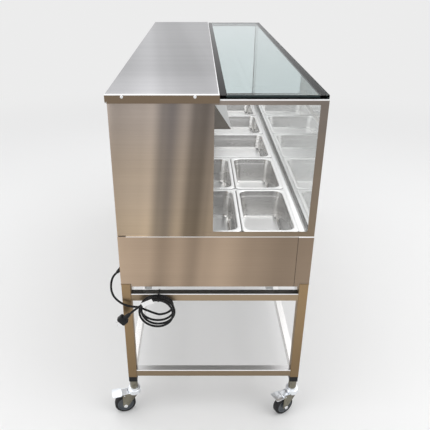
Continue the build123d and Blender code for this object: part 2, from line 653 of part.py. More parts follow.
def drafted(size_x, size_y, corner, depth):
    """Block below Z = 0 whose walls lean in at the draft of the pans."""
    draft = math.degrees(math.atan2(PAN_TAPER, DEEP_PAN))
    return extrude(RectangleRounded(size_x, size_y, corner), amount=-depth, taper=draft)


def pan_form(length, width, depth, inset):
    """Body of a pan below its flange with shoulder, draft and round floor, drawn in from its outer faces."""
    mouth_x = length - 2 * (PAN_FLANGE + inset)
    mouth_y = width - 2 * (PAN_FLANGE + inset)
    corner = PAN_CORNER - inset
    step = 2 * PAN_SHOULDER
    body = drafted(mouth_x - step, mouth_y - step, corner - PAN_SHOULDER, depth - inset)
    body = fillet(body.faces().sort_by(Axis.Z)[0].edges(), PAN_FLOOR_RADIUS - inset)
    return body + drafted(mouth_x, mouth_y, corner, PAN_SHOULDER_DROP - inset)


def pan(length, width, depth):
    """Pressed pan hanging by its flange, with the flange underside at Z = 0 and its corner at the origin."""
    mouth_x = length - 2 * (PAN_FLANGE + PAN_GAUGE)
    mouth_y = width - 2 * (PAN_FLANGE + PAN_GAUGE)
    flange = extrude(RectangleRounded(length, width, PAN_RIM_CORNER), amount=PAN_GAUGE)
    mouth = extrude(RectangleRounded(mouth_x, mouth_y, PAN_CORNER - PAN_GAUGE), amount=PAN_GAUGE)
    shell = flange + pan_form(length, width, depth, 0.0)
    shell -= pan_form(length, width, depth, PAN_GAUGE) + mouth
    return Pos(length / 2, width / 2, 0) * shell


def pans():
    """Two rows of three thirds, one full pan and two rows of two halves."""
    third = (ROW_WIDTH - 2 * PAN_GAP) / 3
    half = (ROW_WIDTH - PAN_GAP) / 2
    third_pan = pan(PAN_LENGTH, third, DEEP_PAN)
    half_pan = pan(PAN_LENGTH, half, SHALLOW_PAN)
    for index in range(6):
        row, place = divmod(index, 3)
        spot = Pos(ROW_STARTS[row], ROW_FRONT_Y + place * (third + PAN_GAP), DECK_TOP)
        keep(f"third_pan_{index + 1}", spot * third_pan)
    keep("full_pan", Pos(ROW_STARTS[2], ROW_FRONT_Y, DECK_TOP) * pan(PAN_LENGTH, ROW_WIDTH, SHALLOW_PAN))
    for index in range(4):
        row, place = divmod(index, 2)
        spot = Pos(ROW_STARTS[3 + row], ROW_FRONT_Y + place * (half + PAN_GAP), DECK_TOP)
        keep(f"half_pan_{index + 1}", spot * half_pan)


def upper_case():
    """End panels with windows, all glass, the glass channel, top frame, top cover and its screws."""
    tall_y = FRAME_REAR_Y + SEAT_GAP
    rear_y = POST_Y - SEAT_GAP
    window_z = (SEAM + WINDOW_SILL + PANEL_TOP - WINDOW_HEAD) / 2
    window_y = (WINDOW_FRONT_Y + WINDOW_REAR_Y) / 2
    window = Pos(window_y, window_z) * RectangleRounded(
        WINDOW_REAR_Y - WINDOW_FRONT_Y, PANEL_HEIGHT - WINDOW_SILL - WINDOW_HEAD, WINDOW_CORNER)
    panels = []
    glasses = []
    for side in ENDS:
        outline = [(-HALF_WIDTH, SEAM), (rear_y, SEAM), (rear_y, COVER_UNDER), (tall_y, COVER_UNDER)]
        outline += [(tall_y, PANEL_TOP), (-HALF_WIDTH, PANEL_TOP)]
        panel = plate_yz(outline, side * PANEL_INNER_X, side * PANEL_X)
        panel += end_block(side, PANEL_X - PANEL_RETURN, PANEL_INNER_X,
                           -HALF_WIDTH, -HALF_WIDTH + SHEET, SEAM, PANEL_TOP)
        panel -= extrude(Plane.YZ.offset(-HALF_LENGTH) * window, amount=CASE_LENGTH)
        for y in SCREW_POSITIONS_Y:
            panel -= rod((-HALF_LENGTH, y, COVER_TOP - SCREW_DROP), (1, 0, 0),
                         SCREW_DIAMETER / 2 + SEAT_GAP, CASE_LENGTH)
        panels.append(panel)
        glasses.append(end_block(side, PANEL_INNER_X - END_GLASS, PANEL_INNER_X, FRONT_GLASS_Y + SEAT_GAP,
                                 WINDOW_REAR_Y + END_GLASS_LAP, DECK_TOP + SEAT_GAP, PANEL_TOP - SEAT_GAP))
    keep("upper_end_panels", *panels)
    keep("end_glasses", *glasses)

    glass_x = PANEL_INNER_X - SEAT_GAP
    pane_y = FRONT_GLASS_Y - FRONT_GLASS
    pane_z = DECK_TOP + CHANNEL_SHEET + SEAT_GAP
    keep("front_glass", block(-glass_x, glass_x, pane_y, FRONT_GLASS_Y, pane_z, PANEL_TOP - SEAT_GAP))

    channel_x = PANEL_INNER_X - END_GLASS - SEAT_GAP
    lip = SEAT_GAP + CHANNEL_SHEET
    channel = block(-channel_x, channel_x, pane_y - lip, FRONT_GLASS_Y + lip,
                    DECK_TOP, DECK_TOP + CHANNEL_HEIGHT)
    channel -= block(-channel_x, channel_x, pane_y - SEAT_GAP, FRONT_GLASS_Y + SEAT_GAP,
                     DECK_TOP + CHANNEL_SHEET, DECK_TOP + CHANNEL_HEIGHT)
    keep("glass_channel", channel)

    frame = block(-PANEL_X, PANEL_X, FRAME_FRONT_Y, FRAME_REAR_Y, PANEL_TOP, FRAME_TOP)
    frame -= block(-PANEL_X + FRAME_RAIL, PANEL_X - FRAME_RAIL, FRAME_FRONT_Y + FRAME_RAIL,
                   FRAME_REAR_Y - FRAME_REAR_RAIL, PANEL_TOP, FRAME_TOP)
    keep("top_frame", frame)

    top_x = HALF_LENGTH - TOP_GLASS_INSET
    top = Pos(0, (TOP_GLASS_FRONT_Y + TOP_GLASS_REAR_Y) / 2) * RectangleRounded(
        2 * top_x, TOP_GLASS_REAR_Y - TOP_GLASS_FRONT_Y, TOP_GLASS_CORNER)
    keep("top_glass", extrude(Plane.XY.offset(FRAME_TOP) * top, amount=TOP_GLASS))

    cover_x = HALF_LENGTH + SEAT_GAP + SHEET
    cover_rear = HALF_WIDTH + COVER_REAR_LAP + SHEET
    skirt_z = COVER_TOP - COVER_SKIRT
    cover = block(-cover_x, cover_x, COVER_FRONT_Y, cover_rear, skirt_z, COVER_TOP)
    inner_x = cover_x - SHEET
    cover -= block(-inner_x, inner_x, COVER_FRONT_Y, cover_rear - SHEET, skirt_z, COVER_UNDER)
    cover += block(-inner_x, inner_x, COVER_FRONT_Y, COVER_FRONT_Y + SHEET, FRAME_TOP, COVER_TOP)
    for side in ENDS:
        cover -= rod((side * cover_x, cover_rear, skirt_z), (0, 0, 1), COVER_RELIEF, COVER_RELIEF)
    screws = []
    for side in ENDS:
        for y in SCREW_POSITIONS_Y:
            level = COVER_TOP - SCREW_DROP
            seat = (side * cover_x, y, level)
            cover -= rod((side * inner_x, y, level), (side, 0, 0), SCREW_DIAMETER / 2 + SEAT_GAP, SHEET)
            head = rod(seat, (side, 0, 0), SCREW_HEAD_DIAMETER / 2, SCREW_HEAD_HEIGHT)
            crown = head.faces().sort_by(Axis.X)[-1 if side > 0 else 0]
            head = fillet(crown.edges(), SCREW_HEAD_HEIGHT / 2)
            screws.append(head + rod(seat, (-side, 0, 0), SCREW_DIAMETER / 2, SCREW_GRIP))
    keep("top_cover", cover)
    keep("cover_screws", *screws)


def hood_section(inset):
    """Flared hood outline in Y and Z, drawn in by a wall and open at the mouth."""
    slope = HOOD_FLARE / HOOD_HEIGHT
    slant = inset * math.hypot(1, slope)
    top = PANEL_TOP - inset
    flare = slope * (top - HOOD_MOUTH)
    front_top = HOOD_TOP_FRONT_Y - slope * inset + slant
    rear_top = HOOD_TOP_REAR_Y + slope * inset - slant
    mouth = [(rear_top + flare, HOOD_MOUTH), (front_top - flare, HOOD_MOUTH)]
    return [(front_top, top), (rear_top, top)] + mouth


def lamps():
    """Folded lamp hood with turned-in lips, and the heat lamps in their holders."""
    outer = hood_section(0.0)
    inner = hood_section(SHEET)
    hood = plate_yz(outer, -HOOD_HALF_LENGTH, HOOD_HALF_LENGTH)
    hollow_x = HOOD_HALF_LENGTH - SHEET
    hood -= plate_yz(inner, -hollow_x, hollow_x)
    front_edge = outer[3][0]
    rear_edge = outer[2][0]
    hood += block(-hollow_x, hollow_x, front_edge, front_edge + HOOD_LIP, HOOD_MOUTH, HOOD_MOUTH + SHEET)
    hood += block(-hollow_x, hollow_x, rear_edge - HOOD_LIP, rear_edge, HOOD_MOUTH, HOOD_MOUTH + SHEET)
    keep("lamp_hood", hood)

    pieces = []
    lamp_y = (HOOD_TOP_FRONT_Y + HOOD_TOP_REAR_Y) / 2
    lamp_z = PANEL_TOP - LAMP_DROP
    holder_top = PANEL_TOP - SHEET
    holder_low = lamp_z - LAMP_DIAMETER / 2 - SHEET
    for index in range(LAMP_COUNT):
        middle = (index - (LAMP_COUNT - 1) / 2) * LAMP_PITCH
        start = middle - LAMP_LENGTH / 2
        lamp = rod((start, lamp_y, lamp_z), (1, 0, 0), LAMP_DIAMETER / 2, LAMP_LENGTH)
        pieces.append(lamp)
        first = start - HOLDER_GRIP
        last = start + LAMP_LENGTH + HOLDER_GRIP - HOLDER_LENGTH
        for x0 in (first, last):
            holder = block(x0, x0 + HOLDER_LENGTH, lamp_y - HOLDER_WIDTH / 2, lamp_y + HOLDER_WIDTH / 2,
                           holder_low, holder_top)
            pieces.append(holder - lamp)
    keep("heat_lamps", *pieces)


def rear_doors():
    """Corner posts, the two door tracks and the two sliding doors with their pulls."""
    post_bottom = SEAM - POST_DROP
    tube = square_tube(POST_WIDTH, POST_DEPTH, POST_WALL, LEG_CORNER, COVER_UNDER - post_bottom)
    centre_x = PANEL_X - POST_WIDTH / 2
    centre_y = HALF_WIDTH - POST_DEPTH / 2
    pieces = [Pos(side * centre_x, centre_y, post_bottom) * tube for side in ENDS]
    track_x = POST_X - SEAT_GAP
    track_y0 = centre_y - TRACK_DEPTH / 2
    track_y1 = centre_y + TRACK_DEPTH / 2
    sill = block(-track_x, track_x, track_y0, track_y1, DECK_TOP, DECK_TOP + SILL_TRACK)
    head = block(-track_x, track_x, track_y0, track_y1, COVER_UNDER - HEAD_TRACK, COVER_UNDER)
    sill_floor = DECK_TOP + SILL_TRACK - SILL_GROOVE
    head_roof = COVER_UNDER - HEAD_TRACK + HEAD_GROOVE
    inner_y = centre_y - DOOR_PITCH / 2
    outer_y = centre_y + DOOR_PITCH / 2
    groove = DOOR_THICKNESS / 2 + DOOR_PLAY
    for y in (inner_y, outer_y):
        sill -= block(-track_x, track_x, y - groove, y + groove, sill_floor, DECK_TOP + SILL_TRACK)
        head -= block(-track_x, track_x, y - groove, y + groove, COVER_UNDER - HEAD_TRACK, head_roof)
    keep("rear_door_frame", *pieces, sill, head)

    reach = track_x - RUN_GAP
    half = DOOR_THICKNESS / 2
    low = sill_floor + DOOR_PLAY
    high = head_roof - DOOR_LIFT
    pull_z = (low + high) / 2
    for name, side, y in (("left", -1, inner_y), ("right", 1, outer_y)):
        edges = sorted((side * reach, -side * DOOR_OVERLAP / 2))
        pane = block(*edges, y - half, y + half, low, high)
        pull_x = side * (reach - PULL_INSET - PULL_WIDTH / 2)
        grip = RectangleRounded(PULL_WIDTH, PULL_HEIGHT, PULL_CORNER)
        bezel = grip - RectangleRounded(
            PULL_WIDTH - 2 * PULL_WALL, PULL_HEIGHT - 2 * PULL_WALL, PULL_CORNER - PULL_WALL)
        seat = Plane(origin=(pull_x, y + half, pull_z), x_dir=(1, 0, 0), z_dir=(0, 1, 0))
        pull = extrude(seat * bezel, amount=PULL_DEPTH) + extrude(seat * grip, amount=SHEET)
        keep(f"sliding_door_{name}", pane, pull)


def controls():
    """Thermostat and knob, lamp switch and rocker, and the terminal block."""
    back = HALF_WIDTH - SHEET
    outward = (0, 1, 0)
    half = THERMOSTAT_SIZE / 2
    box = block(KNOB_X - half, KNOB_X + half, back - THERMOSTAT_DEPTH, back, KNOB_Z - half, KNOB_Z + half)
    box -= rod((KNOB_X, back - SHAFT_LENGTH, KNOB_Z), outward, SHAFT_DIAMETER / 2 + RUN_GAP, SHAFT_LENGTH)
    keep("thermostat", box)

    face = HALF_WIDTH + RUN_GAP
    knob = rod((KNOB_X, face, KNOB_Z), outward, KNOB_DIAMETER / 2, KNOB_SKIRT)
    knob = chamfer(knob.faces().sort_by(Axis.Y)[-1].edges(), KNOB_SKIRT / 2)
    grip = Pos(KNOB_X, 0, KNOB_Z) * rod((0, face, 0), outward, KNOB_GRIP_DIAMETER / 2, KNOB_DEPTH)
    cheek = KNOB_GRIP_DIAMETER / 2
    for side in ENDS:
        x0, x1 = sorted((KNOB_X + side * KNOB_WAIST / 2, KNOB_X + side * (cheek + SHEET)))
        grip -= block(x0, x1, face + KNOB_SKIRT, face + KNOB_DEPTH, KNOB_Z - cheek, KNOB_Z + cheek)
    shaft_start = back - SHAFT_LENGTH + RUN_GAP
    knob += grip
    knob += rod((KNOB_X, shaft_start, KNOB_Z), outward, SHAFT_DIAMETER / 2, face - shaft_start)
    keep("thermostat_knob", knob)

    width = SWITCH_WIDTH / 2
    height = SWITCH_HEIGHT / 2
    lap = SWITCH_BEZEL_LAP
    body = block(SWITCH_X - width, SWITCH_X + width, HALF_WIDTH - SWITCH_DEPTH, HALF_WIDTH,
                 KNOB_Z - height, KNOB_Z + height)
    body += block(SWITCH_X - width - lap, SWITCH_X + width + lap, HALF_WIDTH, HALF_WIDTH + SWITCH_BEZEL,
                  KNOB_Z - height - lap, KNOB_Z + height + lap)
    bay_x = ROCKER_WIDTH / 2 + RUN_GAP
    bay_z = ROCKER_HALF + ROCKER_CLEARANCE
    body -= block(SWITCH_X - bay_x, SWITCH_X + bay_x,
                  HALF_WIDTH - SWITCH_DEPTH / 2, HALF_WIDTH + SWITCH_BEZEL,
                  KNOB_Z - bay_z, KNOB_Z + bay_z)
    hinge = (HALF_WIDTH, KNOB_Z)
    for side in ENDS:
        body += rod((SWITCH_X + side * bay_x, *hinge), (-side, 0, 0), SHEET, ROCKER_CLEARANCE)
    keep("lamp_switch", body)

    tip = ROCKER_CROWN + ROCKER_HALF * math.tan(math.radians(ROCKER_TILT))
    outline = [(tip, -ROCKER_HALF), (ROCKER_CROWN, 0), (tip, ROCKER_HALF), (-ROCKER_CROWN, ROCKER_ROOT_HALF)]
    outline += [(-ROCKER_CROWN, -ROCKER_ROOT_HALF)]
    rocker = plate_yz(outline, -ROCKER_WIDTH / 2, ROCKER_WIDTH / 2)
    rocker -= rod((-ROCKER_WIDTH, 0, 0), (1, 0, 0), SHEET + RUN_GAP, 2 * ROCKER_WIDTH)
    keep("switch_rocker", Pos(SWITCH_X, HALF_WIDTH, KNOB_Z) * Rot(ROCKER_TILT, 0, 0) * rocker)

    base = TANK_BOTTOM + SHEET
    rear = back - 2 * SHEET
    x0 = TERMINAL_X - TERMINAL_LENGTH / 2
    terminal = block(x0, x0 + TERMINAL_LENGTH, rear - TERMINAL_DEPTH, rear, base, base + TERMINAL_HEIGHT)
    way = TERMINAL_LENGTH / TERMINAL_WAYS
    shelf = (TERMINAL_DEPTH - TERMINAL_SPINE) / 2
    for index in range(TERMINAL_WAYS):
        bay = x0 + way * index
        for y0 in (rear - TERMINAL_DEPTH, rear - shelf):
            terminal -= block(bay + SHEET, bay + way - SHEET, y0, y0 + shelf,
                              base + TERMINAL_STEP, base + TERMINAL_HEIGHT)
    keep("terminal_block", terminal)


def gland():
    """Panel gland with a tapered boot that turns the cord downwards."""
    start = Vector(GLAND_X, HALF_WIDTH, GLAND_Z)
    end = Vector(*LEAD_POINTS[0])
    along = (end - start).normalized()
    outward = (0, 1, 0)
    neck = GLAND_NECK_DIAMETER / 2
    boot = loft([Plane(origin=start, z_dir=along) * Circle(neck),
                 Plane(origin=end, z_dir=along) * Circle(CORD_RADIUS + BOOT_WALL)])
    boot -= block(GLAND_X - 2 * neck, GLAND_X + 2 * neck, HALF_WIDTH - 2 * neck, HALF_WIDTH,
                  GLAND_Z - 2 * neck, GLAND_Z + 2 * neck)
    boot += rod((GLAND_X, HALF_WIDTH - GLAND_NECK, GLAND_Z), outward, neck, GLAND_NECK)
    boot += rod((GLAND_X, HALF_WIDTH, GLAND_Z), outward, GLAND_FLANGE_DIAMETER / 2, GLAND_FLANGE)
    keep("cord_gland", boot)


def rounded_route(points):
    """Straight runs joined by tangent arcs as large as the runs allow."""
    vectors = [Vector(*point) for point in points]
    radii = []
    for before, here, after in zip(vectors, vectors[1:], vectors[2:]):
        turn = math.radians((here - before).get_angle(after - here))
        shorter = min((here - before).length, (after - here).length)
        radii.append(ARC_SHARE * shorter / math.tan(turn / 2))
    print("arc radii", [round(radius, 1) for radius in radii])
    return FilletPolyline(*points, radius=radii)


def tube(path, name):
    """Round cord along a path, with its volume compared with section times length."""
    section = Plane(origin=path @ 0, z_dir=path % 0) * Circle(CORD_RADIUS)
    solid = sweep(section, path=path)
    expected = math.pi * CORD_RADIUS ** 2 * path.length
    print(name, "length", round(path.length, 1), "volume ratio", round(solid.volume / expected, 4))
    return solid


def biarc(start, start_way, end, end_way):
    """Two tangent arcs from one point and direction to another."""
    step = end - start
    ways = start_way + end_way
    square = 2 * (start_way.dot(end_way) - 1)
    linear = -2 * step.dot(ways)
    root = math.sqrt(linear ** 2 - 4 * square * step.dot(step))
    reach = (linear + root) / (-2 * square)
    joint = (start + end + (start_way - end_way) * reach) * 0.5
    joint_way = (step - ways * reach).normalized()
    return [TangentArc(start, joint, tangent=start_way), TangentArc(joint, end, tangent=joint_way)]


def coil_stations():
    """Quarter points of the loose turns with their directions, bottom first, drifting out from the rail."""
    stations = []
    drift = COIL_PITCH / 4
    middle_z = (COIL_TOP_Z + COIL_BOTTOMS_Z[-1]) / 2
    for turn, bottom in enumerate(COIL_BOTTOMS_Z):
        side_z = (COIL_TOP_Z + bottom) / 2
        quarters = [(COIL_CENTRE_Y, bottom, (-1, 0)), (COIL_RIGHTS_Y[turn], side_z, (0, 1))]
        if turn < len(COIL_LEFTS_Y):
            quarters += [(COIL_CENTRE_Y, COIL_TOP_Z, (1, 0)), (COIL_LEFTS_Y[turn], middle_z, (0, -1))]
        for quarter, (y, z, way) in enumerate(quarters):
            x = COIL_TOP_X - drift * (4 * turn + quarter - 2)
            speed = COIL_CENTRE_Y - COIL_RIGHTS_Y[turn]
            direction = Vector(-drift * 2 / math.pi, way[0] * speed, way[1] * speed).normalized()
            stations.append((Vector(x, y, z), direction))
    slope = math.radians(COIL_END_SLOPE)
    end_x = stations[-1][0].X - drift - COIL_END_STEP
    end_way = Vector(0, math.cos(slope), -math.sin(slope))
    stations.append((Vector(end_x, COIL_END_Y, COIL_TOP_Z - COIL_END_DROP), end_way))
    return stations


def least_gap(path, samples=700):
    """Smallest clear distance between stretches of a tube that are not neighbours along it."""
    points = [path @ (index / samples) for index in range(samples + 1)]
    skip = int(3 * CORD_DIAMETER / (path.length / samples)) + 1
    least = path.length
    for index, here in enumerate(points):
        for other in points[index + skip:]:
            least = min(least, math.dist(here, other))
    return least - CORD_DIAMETER


def cord():
    """Lead, loose coil, tail, plug, cable tie and blank tag."""
    lead = rounded_route(LEAD_POINTS)
    keep("cord_lead", tube(lead, "cord_lead"))

    start = lead @ 1
    way = (lead % 1).normalized()
    straight = start + way * CORD_DIAMETER
    edges = [Line(start, straight)]
    here = (straight, way)
    stations = coil_stations()
    for station in stations:
        edges += biarc(*here, *station)
        here = station
    end = here[0] + here[1] * CORD_DIAMETER
    edges.append(Line(here[0], end))
    coil = Wire(edges)
    print("coil least gap", round(least_gap(coil), 2))
    keep("cord_coil", tube(coil, "cord_coil"))

    first = end + here[1] * TAIL_FIRST_RUN
    tail = rounded_route([tuple(end), tuple(first)] + [(end.X, y, z) for y, z in TAIL_POINTS_YZ])
    keep("cord_tail", tube(tail, "cord_tail"))
    plug(tail @ 1, (tail % 1).normalized())
    tie(stations)
    tag(end, here[1])


def plug(start, along):
    """Moulded flat-pin plug: ribbed neck, rounded body and three pins."""
    seat = Plane(origin=start, x_dir=(1, 0, 0), z_dir=along)
    tip_radius = CORD_RADIUS + BOOT_WALL
    neck = loft([seat * Circle(tip_radius), seat.offset(PLUG_NECK) * Circle(PLUG_NECK_DIAMETER / 2)])
    body = extrude(seat.offset(PLUG_NECK) * RectangleRounded(PLUG_THICKNESS, PLUG_WIDTH, PLUG_CORNER),
                   amount=PLUG_BODY)
    body = fillet(body.faces().sort_by(Axis(start, along))[0].edges(), PLUG_CORNER / 2)
    pins = []
    face = seat.offset(PLUG_NECK + PLUG_BODY)
    blade = Rectangle(PIN_SHEET, PIN_WIDTH)
    places = [Pos(EARTH_PIN_OFFSET / 3, PIN_SPACING / 2) * Rot(0, 0, PIN_SPLAY) * blade,
              Pos(EARTH_PIN_OFFSET / 3, -PIN_SPACING / 2) * Rot(0, 0, -PIN_SPLAY) * blade,
              Pos(-EARTH_PIN_OFFSET * 2 / 3, 0) * Rot(0, 0, 90) * blade]
    for place in places:
        pins.append(extrude(face * place, amount=PIN_LENGTH))
    keep("plug", neck + body, *pins)


def tie_outline(ends, grow):
    """Taut loop in X and Z round the upper end rail and the tops of the coil, grown by a clearance."""
    size = RAIL_SIZE + 2 * grow
    rail = Pos(-LEG_X, UPPER_RAIL_TOP - RAIL_SIZE / 2) * RectangleRounded(size, size, LEG_CORNER + grow)
    held = rail.edges()
    for x in ends:
        held += (Pos(x, COIL_TOP_Z) * Circle(CORD_RADIUS + grow)).edges()
    return make_hull(held)


def tie(stations):
    """Cable tie drawn round the upper end rail and the tops of the coil, with its head on top."""
    ends = (COIL_TOP_X, stations[-1][0].X)
    loop = tie_outline(ends, TIE_CLEARANCE + TIE_SHEET) - tie_outline(ends, TIE_CLEARANCE)
    band = extrude(Plane.XZ.offset(-TIE_Y - TIE_WIDTH / 2) * loop, amount=TIE_WIDTH)
    head_x = sum(ends) / 2
    head_z = COIL_TOP_Z + CORD_RADIUS + TIE_CLEARANCE + TIE_SHEET / 2
    head = block(head_x, head_x + TIE_HEAD_LENGTH, TIE_Y - TIE_HEAD_WIDTH / 2, TIE_Y + TIE_HEAD_WIDTH / 2,
                 head_z, head_z + TIE_HEAD_HEIGHT)
    keep("cable_tie", band + head)


def tag(joint, along):
    """Blank folded tag whose sleeve wraps the straight cord between coil and tail."""
    seat = Plane(origin=joint - along * (TAG_SLEEVE / 2), x_dir=(1, 0, 0), z_dir=along)
    bore = CORD_RADIUS + CORD_CLEARANCE
    sleeve = extrude(seat * (Circle(bore + TAG_SLEEVE_WALL) - Circle(bore)), amount=TAG_SLEEVE)
    face = Plane(origin=joint, x_dir=along, z_dir=(-1, 0, 0)).offset(bore + TAG_SLEEVE_WALL / 2)
    leaf = extrude(face * Pos(TAG_SLEEVE / 4, 0) * Rectangle(TAG_LENGTH, TAG_WIDTH), amount=TAG_SHEET)
    keep("cord_tag", sleeve + leaf)


def write_parts():
    """Write one file for each node."""
    os.makedirs("parts", exist_ok=True)
    for name, solids in NODES.items():
        shape = solids[0] if len(solids) == 1 else Compound(solids)
        export_step(shape, f"parts/{name}.step")
    print(len(NODES), "nodes")


stand()
casters()
lower_case()
well()
pans()
upper_case()
lamps()
rear_doors()
controls()
gland()
cord()
write_parts()
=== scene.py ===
"""Looks of a heated display case on a wheeled stand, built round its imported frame. Metres, +Z up."""

import json
import logging
import math
from contextlib import contextmanager
from dataclasses import dataclass
from enum import Enum
from functools import cache
from typing import Callable, Iterator

import bmesh
import bpy
from mathutils import Matrix, Vector

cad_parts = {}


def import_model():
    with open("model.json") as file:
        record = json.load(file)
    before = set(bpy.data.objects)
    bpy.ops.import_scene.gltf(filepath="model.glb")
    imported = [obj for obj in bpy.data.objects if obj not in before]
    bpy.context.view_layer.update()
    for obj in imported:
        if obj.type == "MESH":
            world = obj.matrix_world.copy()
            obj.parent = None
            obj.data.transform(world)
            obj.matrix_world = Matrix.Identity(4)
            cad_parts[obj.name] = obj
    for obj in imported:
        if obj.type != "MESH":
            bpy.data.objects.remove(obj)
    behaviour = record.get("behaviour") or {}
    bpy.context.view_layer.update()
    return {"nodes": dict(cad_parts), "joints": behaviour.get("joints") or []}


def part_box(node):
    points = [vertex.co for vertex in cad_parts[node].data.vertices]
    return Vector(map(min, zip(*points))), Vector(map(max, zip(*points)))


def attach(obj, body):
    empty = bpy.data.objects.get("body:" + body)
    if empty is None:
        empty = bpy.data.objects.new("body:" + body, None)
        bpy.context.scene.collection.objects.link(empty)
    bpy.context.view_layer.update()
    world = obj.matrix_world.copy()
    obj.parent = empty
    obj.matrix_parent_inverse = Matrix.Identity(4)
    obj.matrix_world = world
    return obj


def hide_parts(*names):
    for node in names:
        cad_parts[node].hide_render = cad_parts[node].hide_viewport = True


LOG = logging.getLogger("display_case")
MM = 0.001

# Angles from which an edge is sharp, and within which faces are one flat face; steps of a rounding.
SHARP_FROM = math.radians(40.0)
FLAT_WITHIN = math.radians(0.6)
ROUND_SIDES = 64
FOLD_SEGMENTS = 3
SOFT_SEGMENTS = 2

# Lengths that count as none: between heights, in plan and on a radius.
SAME = 1e-6
NEAR = 1e-5
ROUND = 1e-4

# Shares of a normal along an axis: of a face that looks that way, a level top, a rounding and its start.
FACES = 0.8
LEVEL = 0.95
TURNS = 0.1
LEANS = 0.05

# Sockets of a Mix node for colours: its factor, its two colours and its result.
FACTOR, FIRST, SECOND, MIXED = 0, 6, 7, 2

Colour = tuple[float, float, float]
Point = tuple[float, float, float]
Stops = tuple[tuple[float, Colour], ...]
Piece = bpy.types.Object
Node = bpy.types.Node
Socket = bpy.types.NodeSocket
Sockets = bpy.types.bpy_prop_collection
Tree = bpy.types.NodeTree
Material = bpy.types.Material
Test = Callable[[Vector, Vector], bool]


class Grain(Enum):
    """Direction of the brushing on a sheet, as stretch factors for a fine noise, in cycles per metre."""

    X = (3.0, 340.0, 340.0)
    Y = (340.0, 3.0, 340.0)
    Z = (340.0, 340.0, 3.0)
    SATIN = (420.0, 420.0, 420.0)


class Axis(Enum):
    """Axis of the object, as an index into its coordinates."""

    X = 0
    Y = 1
    Z = 2


def take(piece: Piece) -> None:
    """Make one piece the only selected and active one.

    Args:
        piece: The piece to work on.
    """
    bpy.ops.object.select_all(action="DESELECT")
    piece.select_set(True)
    bpy.context.view_layer.objects.active = piece


def settle(name: str) -> Piece:
    """Name the new primitive and move its place into its mesh.

    Args:
        name: Name of the piece.

    Returns:
        The piece, at the origin, unturned and unscaled.
    """
    piece = bpy.context.object
    piece.name = name
    piece.data.name = name
    bpy.ops.object.transform_apply(location=True, rotation=True, scale=True)
    return piece


def cylinder(name: str, radius: float, depth: float) -> Piece:
    """Add an upright cylinder centred on the origin."""
    bpy.ops.mesh.primitive_cylinder_add(radius=radius, depth=depth, vertices=ROUND_SIDES)
    return settle(name)


@contextmanager
def editing(piece: Piece, kind: str = "FACE") -> Iterator[None]:
    """Hold a piece in edit mode with a select mode, all of it selected.

    Args:
        piece: The piece to edit.
        kind: VERT, EDGE or FACE.
    """
    take(piece)
    bpy.ops.object.mode_set(mode="EDIT")
    bpy.ops.mesh.select_mode(type=kind)
    bpy.ops.mesh.select_all(action="SELECT")
    yield
    bpy.ops.object.mode_set(mode="OBJECT")


def pick(piece: Piece, test: Test, faces: bool = False) -> None:
    """Select the edges or the faces that pass a test.

    Args:
        piece: The piece in edit mode.
        test: Takes the two ends of an edge, or the centre and the normal of a face.
        faces: Whether faces are picked.
    """
    mesh = bmesh.from_edit_mesh(piece.data)
    bpy.ops.mesh.select_all(action="DESELECT")
    if faces:
        chosen = [face for face in mesh.faces if test(face.calc_center_median(), face.normal)]
    else:
        chosen = [edge for edge in mesh.edges if test(edge.verts[0].co, edge.verts[1].co)]
    for part in chosen:
        part.select_set(True)
    bmesh.update_edit_mesh(piece.data)


def extrude(height: float) -> None:
    """Extrude what is selected upwards, or downwards by a negative height."""
    bpy.ops.mesh.extrude_region_move(TRANSFORM_OT_translate={"value": (0.0, 0.0, height)})


def resize(across: float, along: float, centre: Point) -> None:
    """Scale what is selected in plan about a centre."""
    bpy.ops.transform.resize(value=(across, along, 1.0), center_override=centre)


def bevel(width: float, segments: int, affect: str = "EDGES") -> None:
    """Round what is selected."""
    bpy.ops.mesh.bevel(offset=width, segments=segments, affect=affect, clamp_overlap=True)


def fold(piece: Piece, test: Test, width: float) -> None:
    """Round chosen edges of a piece, as a sheet's fold is.

    Args:
        piece: The piece.
        test: Takes the two ends of an edge.
        width: Width of the rounding.
    """
    with editing(piece, "EDGE"):
        pick(piece, test)
        bevel(width, FOLD_SEGMENTS)
    smooth(piece)


def smooth(piece: Piece, degrees: float = 35.0) -> None:
    """Shade smooth, with edges sharper than an angle kept hard."""
    take(piece)
    bpy.ops.object.shade_smooth_by_angle(angle=math.radians(degrees))


def apply_modifier(piece: Piece, kind: str, **values: object) -> None:
    """Add a modifier with values and apply it.

    Args:
        piece: The piece.
        kind: Modifier type.
        values: Its settings.
    """
    take(piece)
    modifier = piece.modifiers.new(kind.lower(), kind)
    for name, value in values.items():
        setattr(modifier, name, value)
    bpy.ops.object.modifier_apply(modifier=modifier.name)


def join(first: Piece, second: Piece) -> Piece:
    """Join a second piece into a first.

    Args:
        first: The piece that stays.
        second: The piece that goes into it.

    Returns:
        The first piece.
    """
    take(first)
    second.select_set(True)
    bpy.ops.object.join()
    return first


def duplicate(piece: Piece, name: str) -> Piece:
    """Copy a piece with a mesh of its own.

    Args:
        piece: The piece.
        name: Name of the copy.

    Returns:
        The copy.
    """
    copy = piece.copy()
    copy.data = piece.data.copy()
    copy.name = name
    copy.data.name = name
    bpy.context.scene.collection.objects.link(copy)
    return copy


def move_mesh(piece: Piece, move: Matrix) -> None:
    """Move the mesh of a piece, with its object left at the origin."""
    piece.data.transform(move)
    piece.data.update()


